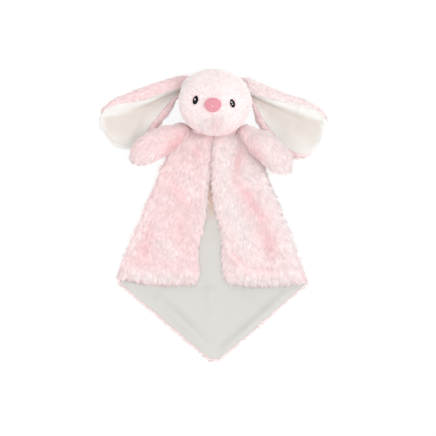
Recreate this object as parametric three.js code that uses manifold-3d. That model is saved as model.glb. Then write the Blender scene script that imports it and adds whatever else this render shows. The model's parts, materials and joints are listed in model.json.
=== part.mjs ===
// A rabbit comforter lying on its back, in millimetres: +Z is up, +Y is towards the crown of the head.
// The blanket is one square of plush lined with velour: its top corner is sewn to the neck,
// and its two side corners are folded to the front as flaps that open along their fold lines.

import * as THREE from 'three';
import { mergeVertices } from 'three/addons/utils/BufferGeometryUtils.js';
import Module from 'manifold-3d';

const wasm = await Module();
wasm.setup();

// Clearances
const seatGap = 0.3; // between pieces that lie on each other
const weldDistance = 0.0001; // vertices closer than this are one

// Head
const headWidth = 90;
const headLength = 82.6; // chin to crown
const headDepth = 72; // back of the head to the face
const headFlat = 0.5; // how far the back of the head is pressed flat
const headSideShift = 1; // head's centre beside the blanket's middle
const muzzleRise = 5;
const cheekRise = 1.5;
const headWall = 3; // plush of the head, pile included
const neckOpening = 16; // turning hole in the head, closed by the neck pad
const headTilt = 10; // degrees that the head tilts to each side

// Face
const eyeWidth = 6.7;
const eyeLength = 10;
const eyeRise = 1.6;
const glintWidth = 2.2;
const glintRise = 0.7;
const noseWidth = 19.5;
const noseLength = 16.7;
const noseRise = 5.2;
const stitchWidth = 1.4;
const stitchLength = 4.6;
const stitchRise = 0.7;

// Ears
const earLength = 104; // from the ear's seam on the head to its tip
const earWidth = 60;
const earBand = 16; // height of the furry fold along the upper edge
const earLowBand = 7.4; // height of the furry edge along the lower side
const earFloor = 3.4; // plush under the lining
const earLining = 1.4;
const earDroop = { left: 22.5, right: 23.3 }; // degrees below the sideways direction
const earSwing = 50; // degrees that an ear swings up towards the crown

// Arms
const armLength = 71.5; // shoulder joint to the tip of the paw
const shoulderWidth = 19;
const pawWidth = 35;
const pawLift = 3.6; // the underside of the paw over that of the shoulder
const armWall = 2.6;
const armOverEar = 1.9; // underside of the shoulder over the ear's lower edge
const shoulderClearance = 2.1; // shoulder beside the head
const shoulderOpening = 8; // turning hole in the arm
const armDroop = { left: 27.4, right: 36.5 }; // degrees below the sideways direction

// Blanket
const blanketWidth = 229.6; // over the two folds
const blanketLength = 285; // neck to the lowest corner
const backPile = 4.6;
const flapPile = 6.5;
const lining = 1.2;
const lipWidth = 3.5; // roll of plush that rises along each fold
const hemInset = 3; // lining kept back from the plush edge
const foldRise = 2.6; // height of the main folds
const foldSpread = 9; // half width of the main folds
const bottomSag = 5.5; // the flap's lower edge hangs in a shallow curve

// Neck pad
const padWidth = 62;
const padLength = 13;
const padHeight = 16;

// Counts
const headFacets = [40, 26];
const fillingFacets = [24, 16];
const eyeFacets = [16, 10];
const noseFacets = [26, 14];
const threadFacets = [10, 6];
const padFacets = [24, 14];
const boreFacets = 16;
const armFacets = 20;
const armFillingFacets = 14;
const earStationCount = 19;
const topRowCount = 8; // rows of the sewn upper part of a flap
const openingRowCount = 14; // rows of the part that opens
const backLiningRowCount = 18;
const backLiningColumnCount = 10;
const swingStepCount = 10;
const halvingCount = 30; // of the search for a point on a curve
const shoulderRingAngles = [20, 42, 66]; // degrees round the shoulder's ball

// Shares: places and outlines as parts of the sizes that they follow.
const neckShare = 0.642; // blanket's top edge, of half the head's length below the head's centre
const padShare = 0.765; // neck pad's middle, of the same
const openingDirectionShares = [0, -0.78, -0.62];
const muzzleDirectionShares = [0, -0.3, 0.95];
const muzzleSpreadShare = 0.45;
const cheekDirectionShares = [0.55, -0.4, 0.55];
const cheekSpreadShare = 0.5;
const pawFlatShare = 0.86; // arm's height, of its width
const noseTaperShare = 0.3; // nose's narrowing from top to bottom, of its width
const eyePlaceShares = { left: [-0.54, 0.104], right: [0.471, 0.005] };
const eyeSlant = { left: -10, right: 14 }; // degrees
const glintPlaceShares = { left: [0.0, 0.1], right: [-0.45, 0.3] };
const nosePlaceShares = [-0.06, -0.058];
const stitchPlaceShares = [-0.06, -0.1];
const earPlaceShares = { left: [-0.86, 0.392], right: [0.86, 0.363] };
const shoulderDirection = { left: 220.7, right: -44.3 }; // degrees, from the head's centre
const cutShare = 0.402; // where the opening part of a flap starts, of the fold line
const flapStartShare = 0.053; // where the flap's plush starts, of the fold line

// Ear outlines: along the ear and across it, from the seam on the head to the tip.
const earShares = {
  left: {
    outerTop: [
      [-0.14, 0.11], [-0.04, 0.25], [0.2, 0.32], [0.49, 0.36], [0.74, 0.36], [0.91, 0.28], [0.98, 0.13],
    ],
    seamTop: [
      [-0.09, 0.01], [0.05, 0.04], [0.25, 0.07], [0.49, 0.1], [0.74, 0.21], [0.89, 0.23], [0.97, 0.1],
    ],
    seamLow: [
      [-0.06, -0.05], [0.08, -0.04], [0.25, -0.17], [0.47, -0.37], [0.7, -0.62], [0.94, -0.45], [1, -0.06],
    ],
    outerLow: [
      [-0.02, -0.13], [0.1, -0.15], [0.25, -0.36], [0.49, -0.58], [0.7, -0.76], [0.96, -0.54], [1.02, -0.08],
    ],
  },
  right: {
    outerTop: [
      [-0.16, 0.1], [-0.05, 0.19], [0.15, 0.23], [0.38, 0.26], [0.63, 0.31], [0.85, 0.24], [0.97, 0.07],
    ],
    seamTop: [
      [-0.1, -0.01], [0.08, -0.03], [0.24, 0.01], [0.43, 0.07], [0.64, 0.16], [0.82, 0.17], [0.95, 0.04],
    ],
    seamLow: [
      [-0.06, -0.07], [0.11, -0.14], [0.26, -0.35], [0.45, -0.56], [0.68, -0.7], [0.88, -0.75], [0.97, -0.15],
    ],
    outerLow: [
      [-0.02, -0.15], [0.13, -0.28], [0.24, -0.54], [0.43, -0.73], [0.68, -0.9], [0.88, -0.83], [1, -0.16],
    ],
  },
};
// Height of both bands there, up to the head at the seam
const earBandShares = [1.9, 1.4, 1, 0.97, 0.92, 0.82, 0.6];

// Ear section: place between two of the outlines, and height.
const bandSectionShares = [[0, 0.3], [0.1, 0.62], [0.3, 0.9], [0.6, 1], [0.88, 0.97]];
const cupSectionShares = [
  [0, 0.86], [0.05, 0.6], [0.14, 0.34], [0.28, 0.12], [0.45, 0], [0.72, 0], [0.97, 0],
];
const lowSectionShares = [[0.12, 0.8], [0.45, 1], [0.8, 0.75], [1, 0.3]];

// Arm: swell from shoulder to paw along the arm.
const armSwellShares = [[0.06, 0.1], [0.14, 0.34], [0.24, 0.68], [0.36, 0.93], [0.48, 1], [0.62, 1.02]];
const pawStartShare = 0.7; // where the paw starts to round off
const pawRoundShares = [0, 0.4, 0.68, 0.88, 0.98];

// Blanket: across half its width, and down its length.
const blanketShares = {
  neckLeft: [-0.357, 0],
  foldLeft: [-1.029, 0.634],
  cornerLeft: [-0.98, 0.664],
  tip: [0.006, 1],
  cornerRight: [0.962, 0.665],
  foldRight: [0.971, 0.651],
  neckRight: [0.349, 0],
};
const flapEdgeShares = {
  left: [
    [-0.022, 0.048], [-0.052, 0.214], [-0.052, 0.312], [-0.078, 0.424], [-0.14, 0.521], [-0.157, 0.629],
    [-0.2, 0.668],
  ],
  right: [
    [-0.005, 0.048], [-0.023, 0.117], [-0.027, 0.27], [-0.009, 0.368], [0.051, 0.452], [0.06, 0.556],
    [0.156, 0.664],
  ],
};

// Main folds as they lie: from, to, and height of the fold.
const flapFoldShares = {
  left: [
    [[-0.1, 0.1], [-0.19, 0.48], 0.6],
    [[-0.45, 0.24], [-0.3, 0.3], -0.6],
    [[-0.67, 0.38], [-0.9, 0.57], 0.5],
    [[-0.9, 0.615], [-0.24, 0.625], 0.8],
  ],
  right: [
    [[0.08, 0.1], [0.14, 0.48], 1],
    [[0.19, 0.23], [0.53, 0.4], -0.6],
    [[0.37, 0.19], [0.74, 0.52], 0.6],
    [[0.23, 0.615], [0.89, 0.615], 0.8],
  ],
};
const backFoldShares = [
  [[-0.08, 0.64], [-0.01, 0.78], 0.9],
  [[-0.51, 0.76], [-0.08, 0.92], 0.8],
  [[0.55, 0.72], [0.12, 0.93], 0.6],
];
const pileSectionShares = [
  [0, 0.3], [0.015, 0.62], [0.05, 0.9], [0.12, 1], [0.22, 1], [0.34, 1], [0.46, 1],
  [0.58, 1], [0.7, 1], [0.81, 1], [0.9, 0.98], [0.96, 0.86], [1, 0.42],
];
const bottomPileShare = 0.45; // plush height at the flap's lower edge

const materials = {
  pinkPlush: new THREE.MeshStandardMaterial({ color: 0xf6dcdb, roughness: 0.95, metalness: 0 }),
  creamVelour: new THREE.MeshStandardMaterial({ color: 0xe4ddd4, roughness: 0.9, metalness: 0 }),
  noseVelour: new THREE.MeshStandardMaterial({ color: 0xeda0ad, roughness: 0.85, metalness: 0 }),
  blackThread: new THREE.MeshStandardMaterial({ color: 0x151414, roughness: 0.5, metalness: 0 }),
  whiteThread: new THREE.MeshStandardMaterial({ color: 0xfafafa, roughness: 0.5, metalness: 0 }),
  stuffing: new THREE.MeshStandardMaterial({ color: 0xf4f4f0, roughness: 1, metalness: 0 }),
};

// Places worked out from the sizes
const sides = ['left', 'right'];
const outward = { left: -1, right: 1 };
const headHalf = new THREE.Vector3(headWidth / 2, headLength / 2, headDepth / 2);
const wholeLength = headHalf.y * (1 + neckShare) + blanketLength;
const headCentre = new THREE.Vector3(headSideShift, wholeLength / 2 - headHalf.y, headHalf.z - headFlat);
const neckY = headCentre.y - headHalf.y * neckShare;
const backLiningZ = backPile + seatGap;
const flapLiningZ = backLiningZ + lining + seatGap;
const flapFurZ = flapLiningZ + lining + seatGap;
const lipTop = flapFurZ - seatGap;
const foldInset = lipWidth + seatGap;
const shoulderRadius = shoulderWidth / 2;
const pawRadius = pawWidth / 2;
const armUnderside = earLowBand + armOverEar;
const shoulderZ = armUnderside + shoulderRadius;

// Closed body from a geometry whose faces share their vertices.
function toSolid(geometry) {
  const bare = geometry.clone();
  bare.deleteAttribute('normal');
  bare.deleteAttribute('uv');
  const merged = mergeVertices(bare, weldDistance);
  const vertProperties = new Float32Array(merged.attributes.position.array);
  const triVerts = new Uint32Array(merged.index.array);
  return new wasm.Manifold(new wasm.Mesh({ numProp: 3, vertProperties, triVerts }));
}

function toMesh(name, solid, material) {
  const { vertProperties, triVerts } = solid.getMesh();
  const geometry = new THREE.BufferGeometry();
  geometry.setAttribute('position', new THREE.BufferAttribute(vertProperties, 3));
  geometry.setIndex(new THREE.BufferAttribute(triVerts, 1));
  geometry.computeVertexNormals();
  const mesh = new THREE.Mesh(geometry, material.clone());
  mesh.name = name;
  return mesh;
}

// Closed body through rings of points that have as many points each, with flat ends.
function loft(rings) {
  const along = middle(rings.at(-1)).sub(middle(rings[0]));
  along.z = 0;
  const across = new THREE.Vector3(0, 0, 1).cross(along.normalize());
  const flatten = (ring) => ring.map((p) => new THREE.Vector2(p.dot(across), p.z));
  const backwards = THREE.ShapeUtils.area(flatten(rings[0])) < 0;
  const turned = backwards ? rings.map((ring) => [...ring].reverse()) : rings;
  const count = turned[0].length;
  const faces = [];
  for (let i = 0; i + 1 < turned.length; i += 1) {
    for (let j = 0; j < count; j += 1) {
      const k = (j + 1) % count;
      const [a, b] = [i * count + j, i * count + k];
      const rising = turned[i][j].distanceTo(turned[i + 1][k]) < turned[i][k].distanceTo(turned[i + 1][j]);
      if (rising) faces.push(a, b, b + count, a, b + count, a + count);
      else faces.push(a, b, a + count, b, b + count, a + count);
    }
  }
  for (const [a, b, c] of THREE.ShapeUtils.triangulateShape(flatten(turned[0]), [])) faces.push(a, c, b);
  const last = (turned.length - 1) * count;
  for (const [a, b, c] of THREE.ShapeUtils.triangulateShape(flatten(turned.at(-1)), [])) {
    faces.push(last + a, last + b, last + c);
  }
  const geometry = new THREE.BufferGeometry().setFromPoints(turned.flat());
  geometry.setIndex(faces);
  return toSolid(geometry);
}

function middle(points) {
  const sum = new THREE.Vector3();
  for (const point of points) sum.add(point);
  return sum.divideScalar(points.length);
}

function extrudeFlat(outline, low, high) {
  const shape = new THREE.Shape(outline);
  const geometry = new THREE.ExtrudeGeometry(shape, { depth: high - low, bevelEnabled: false });
  return toSolid(geometry.translate(0, 0, low));
}

// Head
function headPoint(direction, grow) {
  const unit = direction.clone().normalize();
  const swell = (towards, rise, spread) => {
    const angle = unit.angleTo(new THREE.Vector3(...towards));
    return rise * Math.exp(-((angle / spread) ** 2));
  };
  const [cheekX, cheekY, cheekZ] = cheekDirectionShares;
  const rise = swell(muzzleDirectionShares, muzzleRise, muzzleSpreadShare)
    + swell([cheekX, cheekY, cheekZ], cheekRise, cheekSpreadShare)
    + swell([-cheekX, cheekY, cheekZ], cheekRise, cheekSpreadShare);
  return unit.clone().multiply(headHalf).addScaledVector(unit, rise + grow).add(headCentre);
}

function headBody(grow, facets) {
  const geometry = new THREE.SphereGeometry(1, ...facets).rotateX(Math.PI / 2);
  const places = geometry.attributes.position;
  for (let i = 0; i < places.count; i += 1) {
    const point = headPoint(new THREE.Vector3().fromBufferAttribute(places, i), grow);
    places.setXYZ(i, point.x, point.y, Math.max(point.z, -Math.min(grow, 0)));
  }
  return toSolid(geometry);
}

function headParts() {
  const towards = new THREE.Vector3(...openingDirectionShares).normalize();
  const bore = new THREE.CylinderGeometry(neckOpening / 2, neckOpening / 2, headDepth, boreFacets);
  bore.translate(0, headDepth / 2, 0);
  bore.applyQuaternion(new THREE.Quaternion().setFromUnitVectors(new THREE.Vector3(0, 1, 0), towards));
  bore.translate(headCentre.x, headCentre.y, headCentre.z);
  const cover = headBody(0, headFacets).subtract(headBody(-headWall, fillingFacets)).subtract(toSolid(bore));
  const stuffing = headBody(-headWall - seatGap, fillingFacets);
  return [
    toMesh('head_cover', cover, materials.pinkPlush),
    toMesh('head_stuffing', stuffing, materials.stuffing),
  ];
}

// Underside of the head over a point of the plan, or nothing above it.
function headUnderside(x, y) {
  const across = (x - headCentre.x) / headHalf.x;
  const along = (y - headCentre.y) / headHalf.y;
  const rest = 1 - across * across - along * along;
  return rest > 0 ? headCentre.z - headHalf.z * Math.sqrt(rest) : Infinity;
}

// Face: small padded pieces that sit on the head's surface.
function onFace(placeShares) {
  const [x, y] = placeShares;
  const direction = new THREE.Vector3(x, y, Math.sqrt(1 - x * x - y * y));
  const normal = direction.clone().divide(headHalf).normalize();
  return { place: headPoint(direction, 0), normal };
}

function facePiece(geometry, placeShares, slant) {
  const { place, normal } = onFace(placeShares);
  geometry.rotateZ(THREE.MathUtils.degToRad(slant));
  geometry.applyQuaternion(new THREE.Quaternion().setFromUnitVectors(new THREE.Vector3(0, 0, 1), normal));
  return geometry.translate(place.x, place.y, place.z);
}

function eyeBody(side, grow) {
  const geometry = new THREE.SphereGeometry(1, ...eyeFacets).rotateX(Math.PI / 2);
  geometry.scale(eyeWidth / 2 + grow, eyeLength / 2 + grow, eyeRise + grow);
  return toSolid(facePiece(geometry, eyePlaceShares[side], eyeSlant[side]));
}

function eyeParts(side) {
  const head = headBody(seatGap, headFacets);
  const { normal } = onFace(eyePlaceShares[side]);
  const [across, along] = glintPlaceShares[side];
  const glint = new THREE.SphereGeometry(glintWidth / 2, ...threadFacets).rotateX(Math.PI / 2);
  glint.scale(1, 1, glintRise / (glintWidth / 2));
  glint.translate((across * eyeWidth) / 2, (along * eyeLength) / 2, 0);
  facePiece(glint, eyePlaceShares[side], eyeSlant[side]);
  const crown = Math.sqrt(1 - across * across - along * along) * eyeRise;
  glint.translate(...normal.multiplyScalar(crown + seatGap).toArray());
  const stitched = toSolid(glint).subtract(eyeBody(side, seatGap)).subtract(head);
  return [
    toMesh(`${side}_eye`, eyeBody(side, 0).subtract(head), materials.blackThread),
    toMesh(`${side}_eye_glint`, stitched, materials.whiteThread),
  ];
}

function noseBody(grow) {
  const geometry = new THREE.SphereGeometry(1, ...noseFacets).rotateX(Math.PI / 2);
  const places = geometry.attributes.position;
  for (let i = 0; i < places.count; i += 1) {
    const narrowing = 1 + noseTaperShare * places.getY(i);
    places.setX(i, places.getX(i) * narrowing);
  }
  geometry.scale(noseWidth / 2 + grow, noseLength / 2 + grow, noseRise + grow);
  return toSolid(facePiece(geometry, nosePlaceShares, 0));
}

function noseParts() {
  const head = headBody(seatGap, headFacets);
  const stitch = new THREE.SphereGeometry(1, ...threadFacets).rotateX(Math.PI / 2);
  stitch.scale(stitchWidth / 2, stitchLength / 2, stitchRise);
  facePiece(stitch, stitchPlaceShares, 0);
  stitch.translate(...onFace(stitchPlaceShares).normal.multiplyScalar(noseRise + seatGap).toArray());
  return [
    toMesh('nose', noseBody(0).subtract(head), materials.noseVelour),
    toMesh('nose_stitch', toSolid(stitch).subtract(noseBody(seatGap)), materials.whiteThread),
  ];
}

// Ears
function earFrame(side) {
  const [x, y] = earPlaceShares[side];
  const seam = new THREE.Vector2(headCentre.x + x * headHalf.x, headCentre.y + y * headHalf.y);
  const droop = THREE.MathUtils.degToRad(earDroop[side]);
  const along = new THREE.Vector2(outward[side] * Math.cos(droop), -Math.sin(droop));
  const across = new THREE.Vector2(outward[side] * Math.sin(droop), Math.cos(droop));
  return { seam, along, across };
}

function earCurve(side, name) {
  const { seam, along, across } = earFrame(side);
  const points = earShares[side][name].map(([u, v]) => seam.clone()
    .addScaledVector(along, u * earLength)
    .addScaledVector(across, v * earWidth));
  return new THREE.SplineCurve(points);
}

// Lowest that the head comes over a point of the ear while the ear swings up.
function ceilingOver(side, point) {
  const { seam } = earFrame(side);
  let lowest = Infinity;
  for (let step = 0; step <= swingStepCount; step += 1) {
    const angle = THREE.MathUtils.degToRad((outward[side] * earSwing * step) / swingStepCount);
    const turned = point.clone().rotateAround(seam, angle);
    lowest = Math.min(lowest, headUnderside(turned.x, turned.y));
  }
  return lowest - seatGap;
}

function earStations(side) {
  const names = ['outerTop', 'seamTop', 'seamLow', 'outerLow'];
  const curves = names.map((name) => earCurve(side, name));
  const heights = new THREE.SplineCurve(earBandShares.map((share, i) => new THREE.Vector2(i, share)));
  const stations = [];
  for (let i = 0; i < earStationCount; i += 1) {
    const share = i / (earStationCount - 1);
    const [outerTop, seamTop, seamLow, outerLow] = curves.map((curve) => curve.getPoint(share));
    stations.push({ outerTop, seamTop, seamLow, outerLow, height: heights.getPoint(share).y });
  }
  return stations;
}

function cupHeight(side, point, share, bandShare) {
  const profile = earFloor + (earBand - earFloor - earLining - seatGap) * share * bandShare;
  return Math.min(profile, ceilingOver(side, point) - earLining - seatGap);
}

function earBackRing(side, station) {
  const ring = [];
  const add = (from, to, share, height) => {
    const point = from.clone().lerp(to, share);
    ring.push(new THREE.Vector3(point.x, point.y, height(point)));
  };
  const { outerTop, seamTop, seamLow, outerLow, height } = station;
  const under = (point, z) => Math.min(z, ceilingOver(side, point));
  for (const [share, rise] of bandSectionShares) {
    add(outerTop, seamTop, share, (point) => under(point, earBand * rise * height));
  }
  for (const [share, rise] of cupSectionShares) {
    add(seamTop, seamLow, share, (point) => cupHeight(side, point, rise, height));
  }
  add(seamTop, seamLow, 1, (point) => cupHeight(side, point, 0, height));
  for (const [share, rise] of lowSectionShares) {
    add(seamLow, outerLow, share, (point) => under(point, earLowBand * rise * height));
  }
  add(seamLow, outerLow, 1 - lowSectionShares[0][0], () => 0);
  add(outerTop, seamTop, bandSectionShares[1][0], () => 0);
  return ring;
}

function earLiningRing(side, station) {
  const { seamTop, seamLow, height } = station;
  const low = cupSectionShares.map(([share, rise]) => {
    const point = seamTop.clone().lerp(seamLow, share);
    return new THREE.Vector3(point.x, point.y, cupHeight(side, point, rise, height) + seatGap);
  });
  const high = low.map((point) => point.clone().add(new THREE.Vector3(0, 0, earLining)));
  return [...low, ...high.reverse()];
}

function earParts(side) {
  const stations = earStations(side);
  const back = loft(stations.map((station) => earBackRing(side, station)));
  const cup = loft(stations.map((station) => earLiningRing(side, station)));
  return [
    toMesh(`${side}_ear_back`, back, materials.pinkPlush),
    toMesh(`${side}_ear_lining`, cup, materials.creamVelour),
  ];
}

// Arms
function shoulderPlace(side) {
  const angle = THREE.MathUtils.degToRad(shoulderDirection[side]);
  const towards = new THREE.Vector2(Math.cos(angle), Math.sin(angle));
  const slice = Math.sqrt(1 - ((headCentre.z - shoulderZ) / headHalf.z) ** 2);
  const radius = slice / Math.hypot(towards.x / headHalf.x, towards.y / headHalf.y);
  const reach = radius + shoulderRadius + shoulderClearance;
  return new THREE.Vector3(headCentre.x + towards.x * reach, headCentre.y + towards.y * reach, shoulderZ);
}

function armDirection(side) {
  const droop = THREE.MathUtils.degToRad(armDroop[side]);
  return new THREE.Vector3(outward[side] * Math.cos(droop), -Math.sin(droop), 0);
}

function armBody(side, grow, points) {
  const place = shoulderPlace(side);
  const along = armDirection(side);
  const across = new THREE.Vector3(0, 0, 1).cross(along);
  const ringAt = (reach, width, share) => {
    const swell = (width - shoulderRadius) / (pawRadius - shoulderRadius);
    const flat = 1 + (pawFlatShare - 1) * THREE.MathUtils.clamp(swell, 0, 1);
    const lift = reach > 0 ? (width * flat - shoulderRadius) + pawLift * share : 0;
    return { reach, width, flat, lift };
  };
  const rings = shoulderRingAngles.map((degrees) => {
    const angle = THREE.MathUtils.degToRad(degrees);
    const radius = shoulderRadius;
    return { reach: -radius * Math.cos(angle), width: radius * Math.sin(angle), flat: 1, lift: 0 };
  });
  rings.push({ reach: 0, width: shoulderRadius, flat: 1, lift: 0 });
  for (const [share, swell] of armSwellShares) {
    rings.push(ringAt(share * armLength, shoulderRadius + (pawRadius - shoulderRadius) * swell, share));
  }
  const { lift: pawMiddle, flat: pawFlat } = ringAt(pawStartShare * armLength, pawRadius, pawStartShare);
  for (const share of pawRoundShares) {
    const reach = armLength * (pawStartShare + (1 - pawStartShare) * share);
    rings.push({ reach, width: pawRadius * Math.sqrt(1 - share * share), flat: pawFlat, lift: pawMiddle });
  }
  const stretch = (armLength + grow) / armLength;
  return loft(rings.map(({ reach, width, flat, lift }) => {
    const behind = 1 + grow / shoulderRadius;
    const radius = width * (reach < 0 ? behind : 1 + grow / Math.max(width, shoulderRadius));
    const centre = place.clone().addScaledVector(along, reach * (reach < 0 ? behind : stretch));
    return Array.from({ length: points }, (_, i) => {
      const angle = (i / points) * Math.PI * 2;
      return centre.clone()
        .addScaledVector(across, Math.cos(angle) * radius)
        .add(new THREE.Vector3(0, 0, lift + Math.sin(angle) * radius * flat));
    });
  }));
}

function armParts(side) {
  const boreRadius = shoulderOpening / 2;
  const bore = new THREE.CylinderGeometry(boreRadius, boreRadius, shoulderWidth, boreFacets);
  bore.translate(0, shoulderWidth / 2, 0);
  const back = armDirection(side).negate();
  bore.applyQuaternion(new THREE.Quaternion().setFromUnitVectors(new THREE.Vector3(0, 1, 0), back));
  bore.translate(...shoulderPlace(side).toArray());
  const hollow = armBody(side, -armWall, armFillingFacets);
  const cover = armBody(side, 0, armFacets).subtract(hollow).subtract(toSolid(bore));
  return [
    toMesh(`${side}_arm_cover`, cover, materials.pinkPlush),
    toMesh(`${side}_arm_stuffing`, armBody(side, -armWall - seatGap, armFillingFacets), materials.stuffing),
  ];
}

// Neck pad: a flat-bottomed bolster on the back lining.
function padBody(grow) {
  const y = headCentre.y - headHalf.y * padShare;
  const geometry = new THREE.SphereGeometry(1, ...padFacets);
  geometry.scale(padWidth / 2 + grow, padLength / 2 + grow, padHeight / 2 + grow);
  geometry.translate(headCentre.x, y, flapLiningZ + padHeight / 4);
  const floor = new THREE.BoxGeometry(padWidth * 2, padLength * 2, padHeight);
  floor.translate(headCentre.x, y, flapLiningZ - grow - padHeight / 2);
  return toSolid(geometry).subtract(toSolid(floor));
}

function padParts() {
  let pad = padBody(0);
  for (const tilt of [-headTilt, 0, headTilt]) {
    const head = headBody(seatGap, headFacets).translate([-headCentre.x, -headCentre.y, 0]);
    pad = pad.subtract(head.rotate([0, 0, tilt]).translate([headCentre.x, headCentre.y, 0]));
  }
  for (const side of sides) pad = pad.subtract(armBody(side, seatGap, armFacets));
  return [toMesh('neck_pad', pad, materials.pinkPlush)];
}

// Blanket
function onBlanket([across, down]) {
  return new THREE.Vector2((across * blanketWidth) / 2, neckY - down * blanketLength);
}

function blanketOutline() {
  return Object.values(blanketShares).map(onBlanket);
}

// Outline with each side moved inwards by its own distance; the points run counter-clockwise.
function insetOutline(points, distances) {
  const lines = points.map((point, i) => {
    const next = points[(i + 1) % points.length];
    const along = next.clone().sub(point).normalize();
    const inwards = new THREE.Vector2(-along.y, along.x);
    return { point: point.clone().addScaledVector(inwards, distances[i]), along };
  });
  return lines.map((line, i) => {
    const before = lines[(i + lines.length - 1) % lines.length];
    const reach = line.point.clone().sub(before.point).cross(line.along) / before.along.cross(line.along);
    return before.point.clone().addScaledVector(before.along, reach);
  });
}

// Height that the main folds add over a point of the plan.
function foldHeight(folds, point) {
  let height = 0;
  for (const [from, to, share] of folds) {
    const line = new THREE.Line3(flatPoint(onBlanket(from)), flatPoint(onBlanket(to)));
    const nearest = line.closestPointToPoint(flatPoint(point), true, new THREE.Vector3());
    const away = nearest.distanceTo(flatPoint(point));
    height += foldRise * share * Math.exp(-((away / foldSpread) ** 2));
  }
  return height;
}

function flatPoint(point) {
  return new THREE.Vector3(point.x, point.y, 0);
}

function foldLine(side) {
  const [start, end] = side === 'left' ? ['neckLeft', 'foldLeft'] : ['neckRight', 'foldRight'];
  return new THREE.LineCurve(onBlanket(blanketShares[start]), onBlanket(blanketShares[end]));
}

// Share of the flap's inner edge at which the square cut across the flap meets it.
function cutMeetShare(side, start, along) {
  const edge = new THREE.SplineCurve(flapEdgeShares[side].map(onBlanket));
  let low = 0;
  let high = 1;
  for (let step = 0; step < halvingCount; step += 1) {
    const half = (low + high) / 2;
    const beyond = edge.getPointAt(half).sub(start).dot(along) > 0;
    if (beyond) high = half;
    else low = half;
  }
  return low;
}

// Rows across a flap, from its fold to its inner edge: the top part, or the part that opens.
function flapRows(side, opening) {
  const count = opening ? openingRowCount : topRowCount;
  const fold = foldLine(side);
  const edge = new THREE.SplineCurve(flapEdgeShares[side].map(onBlanket));
  const along = fold.getTangent(0);
  const shift = seatGap / 2;
  const cut = fold.getPoint(cutShare).addScaledVector(along, opening ? shift : -shift);
  const meet = cutMeetShare(side, cut, along);
  const foldShares = opening ? [cutShare, 1] : [flapStartShare, cutShare];
  const edgeShares = opening ? [meet, 1] : [0, meet];
  const rows = [];
  for (let i = 0; i < count; i += 1) {
    const share = i / (count - 1);
    const atCut = opening ? i === 0 : i === count - 1;
    const outer = atCut ? cut.clone() : fold.getPoint(THREE.MathUtils.lerp(...foldShares, share));
    const inner = edge.getPointAt(THREE.MathUtils.lerp(...edgeShares, share));
    const sag = opening && i === count - 1 ? bottomSag : 0;
    const pile = opening && i === count - 1 ? bottomPileShare : 1;
    rows.push({ outer, inner, sag, pile });
  }
  return rows;
}

function rowPoint({ outer, inner, sag }, share) {
  const point = outer.clone().lerp(inner, share);
  point.y -= sag * Math.sin(Math.PI * share);
  return point;
}

function flapFur(side, opening) {
  return loft(flapRows(side, opening).map((row) => {
    const ring = pileSectionShares.map(([share, rise]) => {
      const point = rowPoint(row, share);
      const folds = foldHeight(flapFoldShares[side], point) * rise * row.pile;
      return new THREE.Vector3(point.x, point.y, flapFurZ + flapPile * rise * row.pile + folds);
    });
    const base = pileSectionShares.map(([share]) => {
      const point = rowPoint(row, share);
      return new THREE.Vector3(point.x, point.y, flapFurZ);
    });
    return [...ring, ...base.reverse()];
  }));
}

function flapLining(side, opening) {
  const rows = flapRows(side, opening);
  const kept = opening ? rows.slice(0, -1) : rows.slice(1);
  return loft(kept.map((row) => {
    const width = row.outer.distanceTo(row.inner);
    const outer = rowPoint(row, foldInset / width);
    const inner = rowPoint(row, 1 - hemInset / width);
    const corners = [[outer, 0], [inner, 0], [inner, lining], [outer, lining]];
    return corners.map(([point, rise]) => new THREE.Vector3(point.x, point.y, flapLiningZ + rise));
  }));
}

function flapParts(side) {
  const topFur = flapFur(side, false).subtract(armBody(side, seatGap, armFacets)).subtract(padBody(seatGap));
  const topLining = flapLining(side, false).subtract(padBody(seatGap));
  return [
    toMesh(`${side}_flap_top_fur`, topFur, materials.pinkPlush),
    toMesh(`${side}_flap_top_lining`, topLining, materials.creamVelour),
    toMesh(`${side}_flap_fur`, flapFur(side, true), materials.pinkPlush),
    toMesh(`${side}_flap_lining`, flapLining(side, true), materials.creamVelour),
  ];
}

// Roll of plush along a fold, as high as the flap that turns over it.
function lipBody(side) {
  const { v1, v2 } = foldLine(side);
  const along = v2.clone().sub(v1).normalize();
  const inwards = new THREE.Vector2(along.y, -along.x).multiplyScalar(outward[side] * lipWidth);
  return extrudeFlat([v1, v2, v2.clone().add(inwards), v1.clone().add(inwards)], 0, lipTop);
}

function backParts() {
  const outline = blanketOutline();
  const fur = sides.reduce((body, side) => body.add(lipBody(side)), extrudeFlat(outline, 0, backPile));
  const insets = [foldInset, foldInset, hemInset, hemInset, foldInset, foldInset, hemInset];
  const inset = insetOutline(outline, insets);
  return [
    toMesh('blanket_back_fur', fur, materials.pinkPlush),
    toMesh('blanket_back_lining', backLiningBody(inset), materials.creamVelour),
  ];
}

// The back lining, row by row between its left and right edges.
function backLiningBody(outline) {
  const [neckLeft, foldLeft, cornerLeft, tip, cornerRight, foldRight, neckRight] = outline;
  const leftEdge = [neckLeft, foldLeft, cornerLeft, tip];
  const rightEdge = [neckRight, foldRight, cornerRight, tip];
  const end = tip.y + hemInset;
  return loft(Array.from({ length: backLiningRowCount + 1 }, (_, i) => {
    const y = THREE.MathUtils.lerp(neckLeft.y, end, i / backLiningRowCount);
    const left = new THREE.Vector2(edgeAt(leftEdge, y), y);
    const right = new THREE.Vector2(edgeAt(rightEdge, y), y);
    const top = Array.from({ length: backLiningColumnCount + 1 }, (__, j) => {
      const point = left.clone().lerp(right, j / backLiningColumnCount);
      const z = backLiningZ + lining + foldHeight(backFoldShares, point);
      return new THREE.Vector3(point.x, point.y, z);
    });
    const base = [right, left].map((point) => new THREE.Vector3(point.x, point.y, backLiningZ));
    return [...top, ...base];
  }));
}

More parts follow.
